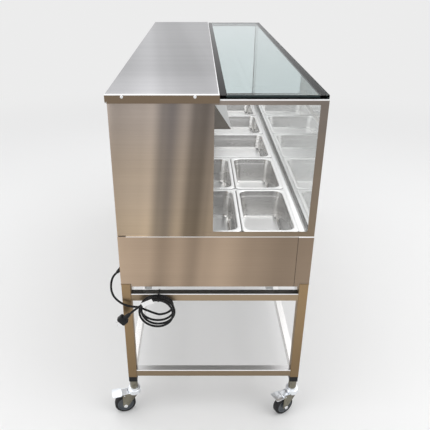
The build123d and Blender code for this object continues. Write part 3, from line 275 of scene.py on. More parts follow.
def twin(node: Piece, name: str) -> Piece:
    """Copy a frame node as a free piece with whole flat faces.

    Args:
        node: The frame node.
        name: Name of the copy.

    Returns:
        The copy.
    """
    piece = duplicate(node, name)
    for key in list(piece.keys()):
        del piece[key]
    piece.parent = None
    with editing(piece):
        bpy.ops.mesh.remove_doubles(threshold=SAME)
        bpy.ops.mesh.dissolve_limited(angle_limit=FLAT_WITHIN)
    if piece.data.has_custom_normals:
        take(piece)
        bpy.ops.mesh.customdata_custom_splitnormals_clear()
    return piece


def soften(piece: Piece, width: float) -> Piece:
    """Round the sharp edges of a piece, as folded or moulded edges are.

    Args:
        piece: The piece.
        width: Width of the rounding.

    Returns:
        The same piece.
    """
    apply_modifier(piece, "BEVEL", width=width, segments=SOFT_SEGMENTS, limit_method="ANGLE",
                   angle_limit=SHARP_FROM, use_clamp_overlap=True)
    smooth(piece)
    return piece


def stand_for(piece: Piece, body: str, *nodes: str) -> Piece:
    """Let a piece ride on a body in the place of frame nodes.

    Args:
        piece: The piece.
        body: Name of the body.
        nodes: Names of the nodes.

    Returns:
        The same piece.
    """
    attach(piece, body)
    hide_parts(*nodes)
    LOG.info("%s rides on %s for %s", piece.name, body, ", ".join(nodes))
    return piece


def feed(tree: Tree, node: Node, values: dict[str | int, object]) -> Node:
    """Set a node's inputs, or link them.

    Args:
        tree: The node tree.
        node: The node.
        values: Values, or sockets to link, by the input's name or index.

    Returns:
        The same node.
    """
    for key, value in values.items():
        if isinstance(value, Socket):
            tree.links.new(value, node.inputs[key])
        else:
            node.inputs[key].default_value = value
    return node


def add_node(tree: Tree, kind: str, values: dict[str | int, object], **settings: object) -> Node:
    """Add a shader node.

    Args:
        tree: The node tree.
        kind: Its type, without the prefix that all of them have.
        values: What its inputs get.
        settings: Its own properties.

    Returns:
        The node.
    """
    node = tree.nodes.new(f"ShaderNode{kind}")
    for name, value in settings.items():
        setattr(node, name, value)
    return feed(tree, node, values)


def add_place(tree: Tree, output: str = "Object") -> Socket:
    """Add one of the texture coordinates."""
    return add_node(tree, "TexCoord", {}).outputs[output]


def add_parts(tree: Tree, output: str) -> Sockets:
    """Add the X, Y and Z parts of one of the texture coordinates."""
    return add_node(tree, "SeparateXYZ", {0: add_place(tree, output)}).outputs


def add_noise(tree: Tree, place: Socket, **values: object) -> Socket:
    """Add a noise with its inputs by name."""
    return add_node(tree, "TexNoise", {"Vector": place, **values}).outputs["Fac"]


def add_share(tree: Tree, value: Socket, start: float, end: float, curve: str = "LINEAR") -> Socket:
    """Add the share of the way that a value has gone from a start to an end."""
    ends = {"Value": value, "From Min": start, "From Max": end}
    return add_node(tree, "MapRange", ends, interpolation_type=curve).outputs["Result"]


def add_range(tree: Tree, share: Socket, low: float, high: float) -> Socket:
    """Add a value that goes from low to high as a share goes from 0 to 1."""
    return add_node(tree, "MapRange", {"Value": share, "To Min": low, "To Max": high}).outputs["Result"]


def add_blend(tree: Tree, factor: Socket, low: Colour, high: Colour) -> Socket:
    """Add a colour that goes from one to another as a value goes from 0 to 1."""
    layers = {FACTOR: factor, FIRST: (*low, 1.0), SECOND: (*high, 1.0)}
    return add_node(tree, "Mix", layers, data_type="RGBA").outputs[MIXED]


def add_bump(tree: Tree, height: Socket, strength: float, distance: float) -> Socket:
    """Add a normal that follows a height, with its depth in metres."""
    values = {"Strength": strength, "Distance": distance, "Height": height}
    return add_node(tree, "Bump", values).outputs["Normal"]


def add_math(tree: Tree, operation: str, *values: Socket | float) -> Socket:
    """Add the result of a Math node, kept from 0 to 1 in a sum or difference."""
    clamp = operation in ("ADD", "SUBTRACT")
    return add_node(tree, "Math", dict(enumerate(values)), operation=operation, use_clamp=clamp).outputs[0]


def add_effect(tree: Tree, effect: Tree, **values: object) -> Sockets:
    """Add a shared effect, fed by Object coordinates, with its other inputs by name."""
    group = add_node(tree, "Group", {}, node_tree=effect)
    return feed(tree, group, {"Vector": add_place(tree), **values}).outputs


def mix_surface(tree: Tree, mask: Socket, first: Node, second: Node) -> None:
    """Let the surface of a material go from one shader to another by a mask."""
    mix = add_node(tree, "MixShader", {0: mask, 1: first.outputs[0], 2: second.outputs[0]})
    feed(tree, tree.nodes["Material Output"], {"Surface": mix.outputs[0]})


def begin_material(name: str) -> tuple[Material, Tree, Node]:
    """Start a node material with a Principled shader.

    Args:
        name: Name of the material.

    Returns:
        The material, its node tree and its shader node.
    """
    material = bpy.data.materials.new(name)
    material.use_nodes = True
    return material, material.node_tree, material.node_tree.nodes["Principled BSDF"]


def begin_effect(name: str, scale: str, kind: str) -> tuple[Tree, Sockets]:
    """Begin a group that takes a place and a scale.

    Args:
        name: Name of the group.
        scale: Name of the scale input.
        kind: Its socket type.

    Returns:
        The group and what comes into it.
    """
    tree = bpy.data.node_groups.new(name, "ShaderNodeTree")
    for label, socket in (("Vector", "NodeSocketVector"), (scale, kind)):
        tree.interface.new_socket(label, in_out="INPUT", socket_type=socket)
    return tree, tree.nodes.new("NodeGroupInput").outputs


def end_effect(tree: Tree, **results: Socket) -> Tree:
    """Give a group its outputs.

    Args:
        tree: The group.
        results: Values by the name of the output.

    Returns:
        The same group.
    """
    for label in results:
        tree.interface.new_socket(label, in_out="OUTPUT", socket_type="NodeSocketFloat")
    feed(tree, tree.nodes.new("NodeGroupOutput"), results)
    return tree


@cache
def brushing() -> Tree:
    """Fine stretched noise of a brushed sheet, with slow bands from rolling.

    Returns:
        The group, with outputs Grain and Bands.
    """
    tree, given = begin_effect("brushing", "Stretch", "NodeSocketVector")
    both = {0: given["Vector"], 1: given["Stretch"]}
    place = add_node(tree, "VectorMath", both, operation="MULTIPLY").outputs[0]
    fine = add_noise(tree, place, Scale=1.0, Detail=4.0, Roughness=0.65)
    return end_effect(tree, Grain=fine, Bands=add_noise(tree, place, Scale=0.05, Detail=2.0))


@cache
def handling() -> Tree:
    """Wiped smears and finger marks on a surface that is handled.

    Returns:
        The group, with output Marks from 0 to 1.
    """
    tree, given = begin_effect("handling", "Size", "NodeSocketFloat")
    smear = add_noise(tree, given["Vector"], Scale=given["Size"], Detail=5.0, Distortion=1.4)
    return end_effect(tree, Marks=add_share(tree, smear, start=0.48, end=0.78, curve="SMOOTHSTEP"))


@cache
def moulding() -> Tree:
    """Fine spark-eroded texture and faint dust of moulded plastic and rubber.

    Returns:
        The group, with outputs Texture and Dust.
    """
    tree, given = begin_effect("moulding", "Size", "NodeSocketFloat")
    pits = add_noise(tree, given["Vector"], Scale=given["Size"], Detail=2.0)
    return end_effect(tree, Texture=pits, Dust=add_noise(tree, given["Vector"], Scale=60.0, Detail=6.0))


@dataclass(frozen=True)
class PaintedLight:
    """Painted reflection and painted light: soft bands across a sheet, as brushed steel shows the room, and
    gradients where light falls, as shares of the colour along a direction.
    """

    along: Point
    shift: float
    stops: Stops

    def add(self, tree: Tree, colour: Socket) -> Socket:
        """Paint the reflection or the light and shade onto a colour.

        Args:
            tree: The node tree.
            colour: The colour.

        Returns:
            The colour with the painted light on it.
        """
        first, last = self.stops[0][0], self.stops[-1][0]
        both = {0: add_place(tree), 1: self.along}
        reach = add_node(tree, "VectorMath", both, operation="DOT_PRODUCT").outputs["Value"]
        share = add_share(tree, reach, first + self.shift, last + self.shift)
        ramp = add_node(tree, "ValToRGB", {"Fac": share})
        ramp.color_ramp.interpolation = "EASE"
        elements = ramp.color_ramp.elements
        while len(elements) < len(self.stops):
            elements.new(0.5)
        for element, (where, tone) in zip(elements, self.stops):
            element.position = (where - first) / (last - first)
            element.color = (*tone, 1.0)
        layers = {FACTOR: 1.0, FIRST: colour, SECOND: ramp.outputs["Color"]}
        return add_node(tree, "Mix", layers, data_type="RGBA", blend_type="MULTIPLY").outputs[MIXED]


def greys(*stops: tuple[float, float]) -> Stops:
    """Stops of painted light that lightens or darkens all colours alike."""
    return tuple((where, (share, share, share)) for where, share in stops)


def scaled(colour: Colour, factor: float) -> Colour:
    """A colour made lighter or darker."""
    return tuple(min(1.0, part * factor) for part in colour)


@dataclass(frozen=True)
class Steel:
    """Brushed or bright stainless sheet."""

    name: str
    colour: Colour
    roughness: float = 0.32
    grain: Grain = Grain.X
    contrast: float = 0.10
    marks: float = 0.04
    relief: float = 0.10
    painted_lights: tuple[PaintedLight, ...] = ()
    glance: float = 1.0
    mark_size: float = 7.0
    spread: float = 0.06
    depth: float = 0.6 * MM

    @cache
    def build(self) -> Material:
        """Make the material.

        Returns:
            The material.
        """
        material, tree, shader = begin_material(self.name)
        brushed = add_effect(tree, brushing(), Stretch=self.grain.value)
        marks = add_effect(tree, handling(), Size=self.mark_size)["Marks"]
        halves = [add_range(tree, brushed[part], low=0.0, high=0.5) for part in ("Grain", "Bands")]
        dark, light = (scaled(self.colour, 1 + side * self.contrast) for side in (-1, 1))
        colour = add_blend(tree, add_math(tree, "ADD", *halves), dark, light)
        # Painted reflections and painted light and shade, multiplied onto the brushed colour.
        for painted_light in self.painted_lights:
            colour = painted_light.add(tree, colour)
        rough = add_range(tree, brushed["Grain"], self.roughness - self.spread, self.roughness + self.spread)
        feed(tree, shader, {
            "Metallic": 1.0,
            "Specular Tint": (self.glance, self.glance, self.glance, 1.0),
            "Base Color": colour,
            "Roughness": add_math(tree, "ADD", rough, add_range(tree, marks, 0.0, self.marks)),
            "Normal": add_bump(tree, brushed["Grain"], self.relief, self.depth),
        })
        return material


@dataclass(frozen=True)
class Plastic:
    """Moulded plastic, nylon, rubber or card."""

    name: str
    colour: Colour
    roughness: float = 0.5
    texture: float = 900.0
    relief: float = 0.08
    dust: float = 0.25
    gloss: float = 0.5
    dust_grey: float = 0.5
    dust_share: float = 0.12
    spread: float = 0.08
    depth: float = 0.4 * MM

    @cache
    def build(self) -> Material:
        """Make the material.

        Returns:
            The material.
        """
        material, tree, shader = begin_material(self.name)
        moulded = add_effect(tree, moulding(), Size=self.texture)
        dusty = tuple(part + (self.dust_grey - part) * self.dust_share * self.dust for part in self.colour)
        low, high = self.roughness - self.spread, self.roughness + self.spread
        feed(tree, shader, {
            "Specular IOR Level": self.gloss,
            "Base Color": add_blend(tree, moulded["Dust"], self.colour, dusty),
            "Roughness": add_range(tree, moulded["Texture"], low, high),
            "Normal": add_bump(tree, moulded["Texture"], self.relief, self.depth),
        })
        return material


@dataclass(frozen=True)
class Plated:
    """Bright or dull zinc plate on pressed steel."""

    name: str
    colour: Colour
    roughness: float = 0.28
    marks: float = 0.22
    marked: float = 0.72
    mark_size: float = 55.0
    texture: float = 500.0
    relief: float = 0.04
    depth: float = 0.3 * MM

    @cache
    def build(self) -> Material:
        """Make the material.

        Returns:
            The material.
        """
        material, tree, shader = begin_material(self.name)
        marks = add_effect(tree, handling(), Size=self.mark_size)["Marks"]
        texture = add_effect(tree, moulding(), Size=self.texture)["Texture"]
        feed(tree, shader, {
            "Metallic": 1.0,
            "Base Color": add_blend(tree, marks, self.colour, scaled(self.colour, self.marked)),
            "Roughness": add_range(tree, marks, self.roughness, self.roughness + self.marks),
            "Normal": add_bump(tree, texture, self.relief, self.depth),
        })
        return material


@dataclass(frozen=True)
class Glass:
    """Clear float glass with polished, darker edges and, on the top pane, a dark border."""

    name: str
    thin: Axis
    body: Colour = (0.975, 0.982, 0.98)
    edge: Colour = (0.001, 0.002, 0.002)
    clear: Colour = (0.98, 0.98, 0.98)
    marks: float = 0.03
    mark_size: float = 9.0
    border: float = 0.0
    gloss: float = 0.5
    bending: float = 1.5
    ledge: float = 24.0 * MM
    half_length: float = 0.8995
    front: float = -0.2988
    rear: float = 0.0
    past_pane: float = 20.0 * MM

    @cache
    def build(self) -> Material:
        """Make the material.

        Returns:
            The material.
        """
        material, tree, shader = begin_material(self.name)
        marks = add_effect(tree, handling(), Size=self.mark_size)["Marks"]
        share = add_math(tree, "ABSOLUTE", add_parts(tree, "Normal")[self.thin.value])
        if self.border:
            share = self.within_border(tree, share)
        feed(tree, shader, {
            "Transmission Weight": 1.0,
            "IOR": self.bending,
            "Specular IOR Level": self.gloss,
            "Base Color": add_blend(tree, share, self.edge, self.body),
            "Roughness": add_range(tree, marks, 0.0, self.marks),
        })
        clear = add_node(tree, "BsdfTransparent", {"Color": (*self.clear, 1.0)})
        mix_surface(tree, self.lit_rays(tree), shader, clear)
        return material

    def within_border(self, tree: Tree, share: Socket) -> Socket:
        """Cut a mask to zero along the ends, the front edge and the ledge at the rear.

        Args:
            tree: The node tree.
            share: The mask.

        Returns:
            The mask with the border taken out.
        """
        along, across, _ = add_parts(tree, "Object")
        ends = add_math(tree, "LESS_THAN", add_math(tree, "ABSOLUTE", along), self.half_length - self.border)
        front = add_math(tree, "GREATER_THAN", across, self.front + self.border)
        rear = add_math(tree, "LESS_THAN", across, self.rear - self.ledge)
        for side in (ends, front, rear):
            share = add_math(tree, "MULTIPLY", share, side)
        return share

    def lit_rays(self, tree: Tree) -> Socket:
        """Mask of the rays that gather light for what is behind the pane, which pass it as clear.

        Args:
            tree: The node tree.

        Returns:
            The mask.
        """
        rays = add_node(tree, "LightPath", {}).outputs
        mirrored = add_math(tree, "SUBTRACT", rays["Is Glossy Ray"], rays["Is Transmission Ray"])
        outside = add_math(tree, "GREATER_THAN", rays["Ray Length"], self.past_pane)
        spread = add_math(tree, "ADD", rays["Is Shadow Ray"], rays["Is Diffuse Ray"])
        return add_math(tree, "ADD", spread, add_math(tree, "MULTIPLY", mirrored, outside))


Finish = Steel | Plastic | Plated | Glass

# Lean of the painted reflection bands on the end panels and the cover, and the heights at which the panels'
# bands are placed.
LEAN = 0.09
UPPER_LEVEL = 0.94
LOWER_LEVEL = 0.64

ALONG_X = (1.0, 0.0, 0.0)
UPWARDS = (0.0, 0.0, 1.0)
# Painted reflections on the upper end panels: bands of the room, some of them darker and cooler, and a warm
# floor reflected low down, cooler high up.
UPPER_PAINTED_REFLECTIONS = (
    PaintedLight((0.0, 1.0, LEAN), LEAN * UPPER_LEVEL, (
        *greys((-0.30, 0.46), (0.004, 0.66), (0.022, 0.52), (0.048, 0.34), (0.072, 0.39), (0.102, 0.76)),
        (0.140, (0.445, 0.46, 0.495)), (0.160, (0.515, 0.53, 0.555)),
        *greys((0.196, 1.0), (0.225, 0.92), (0.310, 0.76)))),
    PaintedLight(UPWARDS, 0.0, ((0.73, (1.06, 1.0, 0.88)), (0.90, (1.03, 1.0, 0.95)), (1.14, (0.94, 0.97, 1.05)))),
)
# Painted reflection bands on the lower end panels and the fascia.
LOWER_PAINTED_REFLECTIONS = (
    PaintedLight((0.0, 1.0, LEAN), LEAN * LOWER_LEVEL, greys(
        (-0.30, 0.60), (-0.21, 0.55), (-0.115, 0.68), (-0.02, 0.93), (0.036, 0.82), (0.072, 0.62),
        (0.120, 0.82), (0.170, 0.66), (0.215, 0.90), (0.310, 1.0))),
)
# Painted light and shade on the pan walls: darker near the rim, lighter towards the floor.
PAN_PAINTED_LIGHT = (PaintedLight(UPWARDS, 0.0, greys((0.64, 1.15), (0.69, 1.0), (0.735, 0.84))),)
# Painted light on the legs and end rails: lighter high up, darker near the floor.
LEG_PAINTED_LIGHT = (PaintedLight(UPWARDS, 0.0, greys((0.1, 0.82), (0.55, 1.2))),)
# Painted reflection bands across the cover, and painted light that makes its near end lighter than its far
# end.
COVER_PAINTED_LIGHT = (
    PaintedLight((-LEAN, 1.0, 0.0), 0.038, greys(
        (0.0, 0.80), (0.024, 0.755), (0.069, 0.67), (0.12, 0.69), (0.174, 0.80), (0.225, 1.0), (0.31, 0.82))),
    PaintedLight(ALONG_X, 0.0, greys((-0.9, 1.2), (-0.55, 1.0), (0.9, 0.98))),
)


# The warm brown in the steel of the end panels, the long panels, the cover's skirt, the legs and the end
# rails is a painted reflection of a brown floor.
class Look:
    """Every finish on the case, by the part of it that carries it."""

    upper_panel = Steel("upper_panel_steel", (0.5, 0.412, 0.332), 0.34, Grain.Y, 0.18, painted_lights=UPPER_PAINTED_REFLECTIONS)
    lower_panel = Steel("lower_panel_steel", (0.5, 0.378, 0.276), 0.34, Grain.Y, 0.18, painted_lights=LOWER_PAINTED_REFLECTIONS)
    long_panel = Steel("long_panel_steel", (0.45, 0.37, 0.295), 0.34, Grain.X, 0.06)
    cover = Steel("cover_steel", (0.421, 0.418, 0.428), 0.36, Grain.Y, 0.32, 0.0, painted_lights=COVER_PAINTED_LIGHT)
    # Painted shade: the cover's end faces, darker and browner than its top.
    cover_skirt_painted_shade = Steel("cover_skirt_steel", (0.208, 0.155, 0.107), 0.34, Grain.Y, 0.05, 0.0)
    pan = Steel("pan_steel", (0.6, 0.592, 0.58), 0.25, Grain.SATIN, 0.04, 0.06, 0.02, PAN_PAINTED_LIGHT)
    # Painted light: the pan floors and rims are lighter copies of the pan steel.
    pan_floor_painted_light = Steel("pan_floor_steel", (0.97, 0.97, 0.97), 0.36, Grain.SATIN, 0.04, 0.06, 0.02)
    pan_rim_painted_highlight = Steel("pan_rim_steel", (0.97, 0.965, 0.955), 0.3, Grain.SATIN, 0.03, 0.0, 0.0)
    # Painted shade: the turned-down lip of each rim, near-black, for the shade in the gaps between the pans.
    pan_lip_painted_shade = Steel("pan_lip_steel", (0.1, 0.1, 0.1), 0.4, Grain.SATIN, 0.03, 0.0, 0.0)
    deck = Steel("deck_steel", (0.97, 0.965, 0.955), 0.32, Grain.X, 0.04, 0.0, 0.03)
    # Painted shade: the edges of the sheets at the seams, near-black, for the shade in the gap.
    seam = Steel("seam_painted_shade_steel", (0.03, 0.027, 0.024), 0.45, Grain.SATIN, 0.03, 0.0, 0.0)
    # Painted highlight: near-white on the folds, the rounded top edges of the end rails and the frame's ends.
    fold = Steel("fold_painted_highlight_steel", (0.97, 0.97, 0.97), 0.4, Grain.SATIN, 0.02, 0.0, 0.0)
    frame = Steel("frame_steel", (0.084, 0.082, 0.077), 0.35, Grain.X, 0.05, glance=0.0)
    channel = Steel("channel_steel", (0.13, 0.127, 0.12), 0.4, Grain.X, 0.05)
    leg = Steel("leg_steel", (0.28, 0.194, 0.108), 0.4, Grain.Z, 0.06, painted_lights=LEG_PAINTED_LIGHT)
    # Painted light: the end rails and the side rails are dark and light copies of one tube steel.
    end_rail = Steel("end_rail_steel", (0.31, 0.238, 0.16), 0.44, Grain.Y, 0.05, painted_lights=LEG_PAINTED_LIGHT)
    side_rail_painted_light = Steel("side_rail_steel", (0.84, 0.828, 0.816), 0.27, Grain.X, 0.05)
    # Painted light on the tops of the lower end rails, painted shade on the tops of the upper end rails.
    rail_top_painted_light = Steel("rail_top_steel", (0.62, 0.615, 0.615), 0.3, Grain.Y, 0.05)
    rail_shade = Steel("rail_shade_steel", (0.12, 0.114, 0.106), 0.27, Grain.Y, 0.05)
    inner = Steel("inner_steel", (0.48, 0.474, 0.462), 0.42, Grain.X)
    hood = Steel("hood_steel", (0.48, 0.486, 0.48), 0.34, Grain.X, 0.05)
    # Painted shade: the hood's end face, much darker than its walls.
    hood_end_painted_shade = Steel("hood_end_steel", (0.102, 0.084, 0.066), 0.4, Grain.Y, 0.05)
    element = Steel("element_sheath", (0.24, 0.204, 0.18), 0.45, Grain.SATIN)
    zinc = Plated("zinc_plate", (0.86, 0.885, 0.92))
    fork = Plated("fork_plate", (0.22, 0.205, 0.16), 0.36)
    nut = Plated("nut_plate", (0.88, 0.89, 0.9), 0.18)
    tyre = Plastic("tyre_rubber", (0.011, 0.011, 0.012), 0.6, 700.0, 0.1, 0.15, 0.25)
    wheel = Plastic("wheel_centre", (0.085, 0.096, 0.108), 0.36, 800.0, 0.05, 0.3)
    black = Plastic("black_moulding", (0.008, 0.008, 0.009), 0.42, dust=0.08, gloss=0.2)
    white = Plastic("white_nylon", (0.86, 0.86, 0.85), 0.45)
    cord = Plastic("cord_sheath", (0.005, 0.005, 0.006), 0.28, 500.0, 0.03, 0.06, 0.22)
    card = Plastic("tag_card", (0.86, 0.855, 0.85), 0.6, 1500.0, 0.05, 0.1)
    rocker = Plastic("rocker_red", (0.42, 0.02, 0.015), 0.25, 900.0, 0.02, 0.1)
    ceramic = Plastic("lamp_ceramic", (0.75, 0.73, 0.68), 0.4)
    top_glass = Glass("top_glass", Axis.Z, (0.64, 0.745, 0.75), border=5.0 * MM, gloss=0.15, bending=1.08)
    end_glass = Glass("end_glass", Axis.X)
    front_glass = Glass("front_glass", Axis.Y, (0.8, 0.815, 0.81))
    door_glass = Glass("door_glass", Axis.Y)


def coat(piece: Piece, finish: Finish) -> Piece:
    """Give a piece one finish all over.

    Args:
        piece: The piece or frame node.
        finish: The finish.

    Returns:
        The same piece.
    """
    piece.data.materials.clear()
    piece.data.materials.append(finish.build())
    LOG.info("%s has %s", piece.name, finish.name)
    return piece


def coat_faces(piece: Piece, finish: Finish, test: Test) -> None:
    """Give the faces that pass a test a finish of their own.

    Args:
        piece: The piece.
        finish: The finish.
        test: Takes a face's centre and normal.
    """
    piece.data.materials.append(finish.build())
    index = len(piece.data.materials) - 1
    for face in piece.data.polygons:
        if test(face.center, face.normal):
            face.material_index = index


@dataclass(frozen=True)
class Lamp:
    """Soft rectangular lamp: its place, what it points at, its width and height, and its power in watts."""

    name: str
    place: Point
    target: Point
    width: float
    height: float
    power: float

    def hang(self) -> None:
        """Hang the lamp where the camera does not see it."""
        data = bpy.data.lights.new(self.name, "AREA")
        data.shape = "RECTANGLE"
        data.size = self.width
        data.size_y = self.height
        data.energy = self.power
        lamp = bpy.data.objects.new(self.name, data)
        lamp.location = self.place
        lamp.visible_camera = False
        aim = Vector(self.target) - Vector(self.place)
        lamp.rotation_euler = aim.to_track_quat("-Z", "Y").to_euler()
        bpy.context.scene.collection.objects.link(lamp)


@dataclass
class Studio:
    """Pale floor, soft lamps and the camera."""

    camera_place: Point = (-2.263, 0.0524, 1.480)
    pitch_down: float = 26.43
    lens: float = 42.8
    sensor: float = 36.0
    shift: float = 0.0382
    floor_size: float = 60.0
    floor_colour: Colour = (0.84, 0.84, 0.838)
    floor_roughness: float = 0.85
    sky_colour: Colour = (0.985, 0.99, 1.0)
    sky: float = 0.6
    pale: float = 0.84
    pale_from: float = 1.6
    pale_to: float = 4.5
    lamps: tuple[Lamp, ...] = (
        Lamp("overhead", (0.2, 0.0, 3.4), (0.0, 0.0, 0.6), 8.0, 6.0, 108.0),
        Lamp("operator_side", (-2.6, 3.2, 2.3), (-0.9, 0.1, 0.7), 4.2, 3.8, 56.0),
        Lamp("customer_side", (-1.8, -3.4, 2.6), (-0.5, -0.2, 0.8), 3.4, 3.2, 38.0),
        Lamp("far_wall", (4.6, -0.5, 2.6), (0.0, -0.5, 1.2), 4.2, 3.0, 4.0),
    )

    def build(self) -> None:
        """Make the floor, the world, the lamps and the camera."""
        scene = bpy.context.scene
        scene.view_settings.view_transform = "Standard"
        self.floor()
        self.world()
        for lamp in self.lamps:
            lamp.hang()
        data = bpy.data.cameras.new("camera")
        data.lens = self.lens
        data.sensor_width = self.sensor
        data.shift_x = self.shift
        camera = bpy.data.objects.new("camera", data)
        camera.location = self.camera_place
        camera.rotation_euler = (math.radians(90.0 - self.pitch_down), 0.0, math.radians(-90.0))
        scene.collection.objects.link(camera)
        scene.camera = camera

    def floor(self) -> None:
        """Lay the plain floor, which fades into the pale surround."""
        bpy.ops.mesh.primitive_plane_add(size=self.floor_size)
        floor = settle("floor")
        material, tree, shader = begin_material("floor_paint")
        feed(tree, shader, {"Base Color": (*self.floor_colour, 1.0), "Roughness": self.floor_roughness})
        reach = add_node(tree, "VectorMath", {0: add_place(tree)}, operation="LENGTH").outputs["Value"]
        far = add_share(tree, reach, self.pale_from, self.pale_to, "SMOOTHSTEP")
        glow = add_node(tree, "Emission", {"Color": (self.pale, self.pale, self.pale, 1.0)})
        mix_surface(tree, add_math(tree, "MULTIPLY", far, self.seen(tree)), shader, glow)
        floor.data.materials.append(material)

    @staticmethod
    def seen(tree: Tree) -> Socket:
        """Mask of the rays that come from the camera, straight, reflected or through glass.

        Args:
            tree: The node tree that uses the mask.

        Returns:
            The mask.
        """
        rays = add_node(tree, "LightPath", {}).outputs
        straight = add_math(tree, "ADD", rays["Is Camera Ray"], rays["Is Glossy Ray"])
        return add_math(tree, "ADD", straight, rays["Is Transmission Ray"])

    def world(self) -> None:
        """Set an even pale surround."""
        world = bpy.data.worlds.new("surround")
        bpy.context.scene.world = world
        world.use_nodes = True
        tree = world.node_tree
        level = add_range(tree, self.seen(tree), self.sky, self.pale)
        feed(tree, tree.nodes["Background"], {"Color": (*self.sky_colour, 1.0), "Strength": level})


@dataclass
class CaseShell:
    """Sheet-metal case, glass and inner works: frame nodes with their finishes and softened edges."""

    nodes: dict[str, Piece]
    edge: float = 0.45 * MM
    rail_size: float = 27.5 * MM
    rail_split: float = 0.3
    fold_width: float = 3.0 * MM
    tube_round: float = 1.8 * MM
    long_edge: float = 100.0 * MM
    hood_slant: float = 26.0 * MM
    panel_sheet: float = 1.3 * MM
    seam_round: float = 1.1 * MM
    seam_depth: float = 4.0 * MM
    lipped: tuple[str, ...] = ("top_cover", "lower_end_panels", "front_fascia")
    seamed: tuple[str, ...] = ("lower_end_panels", "front_fascia")

    def dress(self) -> None:
        """Give every fixed node of the case its finish."""
        plain = {
            "base_panel": Look.inner, "well_tank": Look.inner, "heating_elements": Look.element,
            "thermostat": Look.black, "terminal_block": Look.black, "lamp_switch": Look.black,
            "thermostat_knob": Look.black, "switch_rocker": Look.rocker, "cord_gland": Look.black,
            "glass_channel": Look.channel, "top_glass": Look.top_glass, "end_glasses": Look.end_glass,
            "front_glass": Look.front_glass, "foot_blocks": Look.white, "stem_sockets": Look.black,
            "caster_stems": Look.fork, "heat_lamps": Look.ceramic, "cover_screws": Look.nut,
            "sliding_door_left": Look.door_glass, "sliding_door_right": Look.door_glass,
        }
        for name, finish in plain.items():
            coat(self.nodes[name], finish)
        folded = {
            "lower_end_panels": Look.lower_panel, "upper_end_panels": Look.upper_panel,
            "front_fascia": Look.lower_panel, "rear_fascia": Look.long_panel, "top_cover": Look.cover,
            "rear_door_frame": Look.long_panel, "top_frame": Look.frame, "well_deck": Look.deck,
            "lamp_hood": Look.hood,
        }
        pieces = {}
        for name, finish in folded.items():
            pieces[name] = coat(stand_for(self.folded(name), "case", name), finish)
        self.slant(pieces["lamp_hood"])
        self.wrap_posts(pieces["upper_end_panels"], pieces["rear_door_frame"])
        self.coat_ends(pieces)
        self.dress_stand()

    def folded(self, name: str) -> Piece:
        """Copy a sheet node with its edges rounded and the top edge of its ends folded over.

        Args:
            name: Name of the frame node.

        Returns:
            The folded piece.
        """
        piece = twin(self.nodes[name], f"{name}_folded")
        near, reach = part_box(name)
        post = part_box("rear_door_frame")[0].y
        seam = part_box("front_fascia")[1].y
        first, last = (near.y, reach.y) if name == "top_cover" else (-math.inf, post)

        def at_end(one: Vector, two: Vector) -> bool:
            """Whether an edge lies on an end face."""
            return min(abs(one.x), abs(two.x)) > reach.x - MM

        def at_lip(one: Vector, two: Vector) -> bool:
            """Whether a top edge is at an end, up to the post, or at the front of the cover."""
            rear = max(one.y, two.y) - MM
            return min(one.z, two.z) > reach.z - MM and (rear < first or rear < last and at_end(one, two))

        if name == "lower_end_panels":
            with editing(piece):
                bpy.ops.mesh.bisect(plane_co=(0.0, post, 0.0), plane_no=(0.0, 1.0, 0.0))
        if name in self.lipped:
            fold(piece, at_lip, self.fold_width)
        if name in self.seamed:
            fold(piece, lambda one, two: at_end(one, two)
                 and max(abs(one.y - seam), abs(two.y - seam)) < MM, self.seam_round)
        return soften(piece, self.edge)

    def wrap_posts(self, panels: Piece, posts: Piece) -> None:
        """Carry the upper end panels over the corner posts, as one welded and ground face.

        Args:
            panels: The upper end panels.
            posts: The rear door frame with its corner posts.
        """
        low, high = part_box("rear_door_frame")
        behind = high.x - self.panel_sheet
        for vertex in panels.data.vertices:
            if vertex.co.y > low.y - MM:
                vertex.co.y += high.y - low.y
        for vertex in posts.data.vertices:
            vertex.co.x = max(-behind, min(behind, vertex.co.x))
        panels.data.update()
        posts.data.update()

    def dress_stand(self) -> None:
        """Round the long edges of the stand's tubes and give them their finishes, with painted light on the
        lower end rails' tops and rounded top edges, and painted shade on the upper end rails' tops.
        """
        tubes = {}
        for name, finish in (("stand_legs", Look.leg), ("stand_rails", Look.side_rail_painted_light)):
            tube = twin(self.nodes[name], f"{name}_drawn")
            fold(tube, lambda one, two: (one - two).length > self.long_edge, self.tube_round)
            tubes[name] = coat(stand_for(tube, "case", name), finish)
        leg_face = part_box("stand_rails")[1].x - self.rail_size
        # End rails darker than the side rails; painted light on the lower rails' tops and the rounded edges,
        # painted shade on the upper rails' tops.
        tests = (
            (Look.end_rail, lambda place, normal: True),
            (Look.rail_top_painted_light, lambda place, normal: normal.z > LEVEL and place.z < self.rail_split),
            (Look.rail_shade, lambda place, normal: normal.z > LEVEL and place.z > self.rail_split),
            (Look.fold, lambda place, normal: TURNS < normal.z < LEVEL),
        )
        for finish, test in tests:
            coat_faces(tubes["stand_rails"], finish, lambda place, normal: abs(place.x) > leg_face
                       and test(place, normal))

    def slant(self, hood: Piece) -> None:
        """Lean the hood's front wall back at its top.

        Args:
            hood: The hood.
        """
        low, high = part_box("lamp_hood")
        middle = (low.y + high.y) / 2
        for vertex in hood.data.vertices:
            if vertex.co.y < middle:
                vertex.co.y += self.hood_slant * (vertex.co.z - low.z) / (high.z - low.z)
        hood.data.update()

    def coat_ends(self, pieces: dict[str, Piece]) -> None:
        """Paint shade on the ends of the cover and the hood and in the seams, give the fascia's long face its
        own finish, and paint highlights on the folds and the frame's ends.

        Args:
            pieces: The folded pieces by node name.
        """
        near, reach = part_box("top_cover")
        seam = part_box("front_fascia")[1].y
        fold_end = reach.x - 2 * self.fold_width
        fold_front = near.y + 2 * self.fold_width
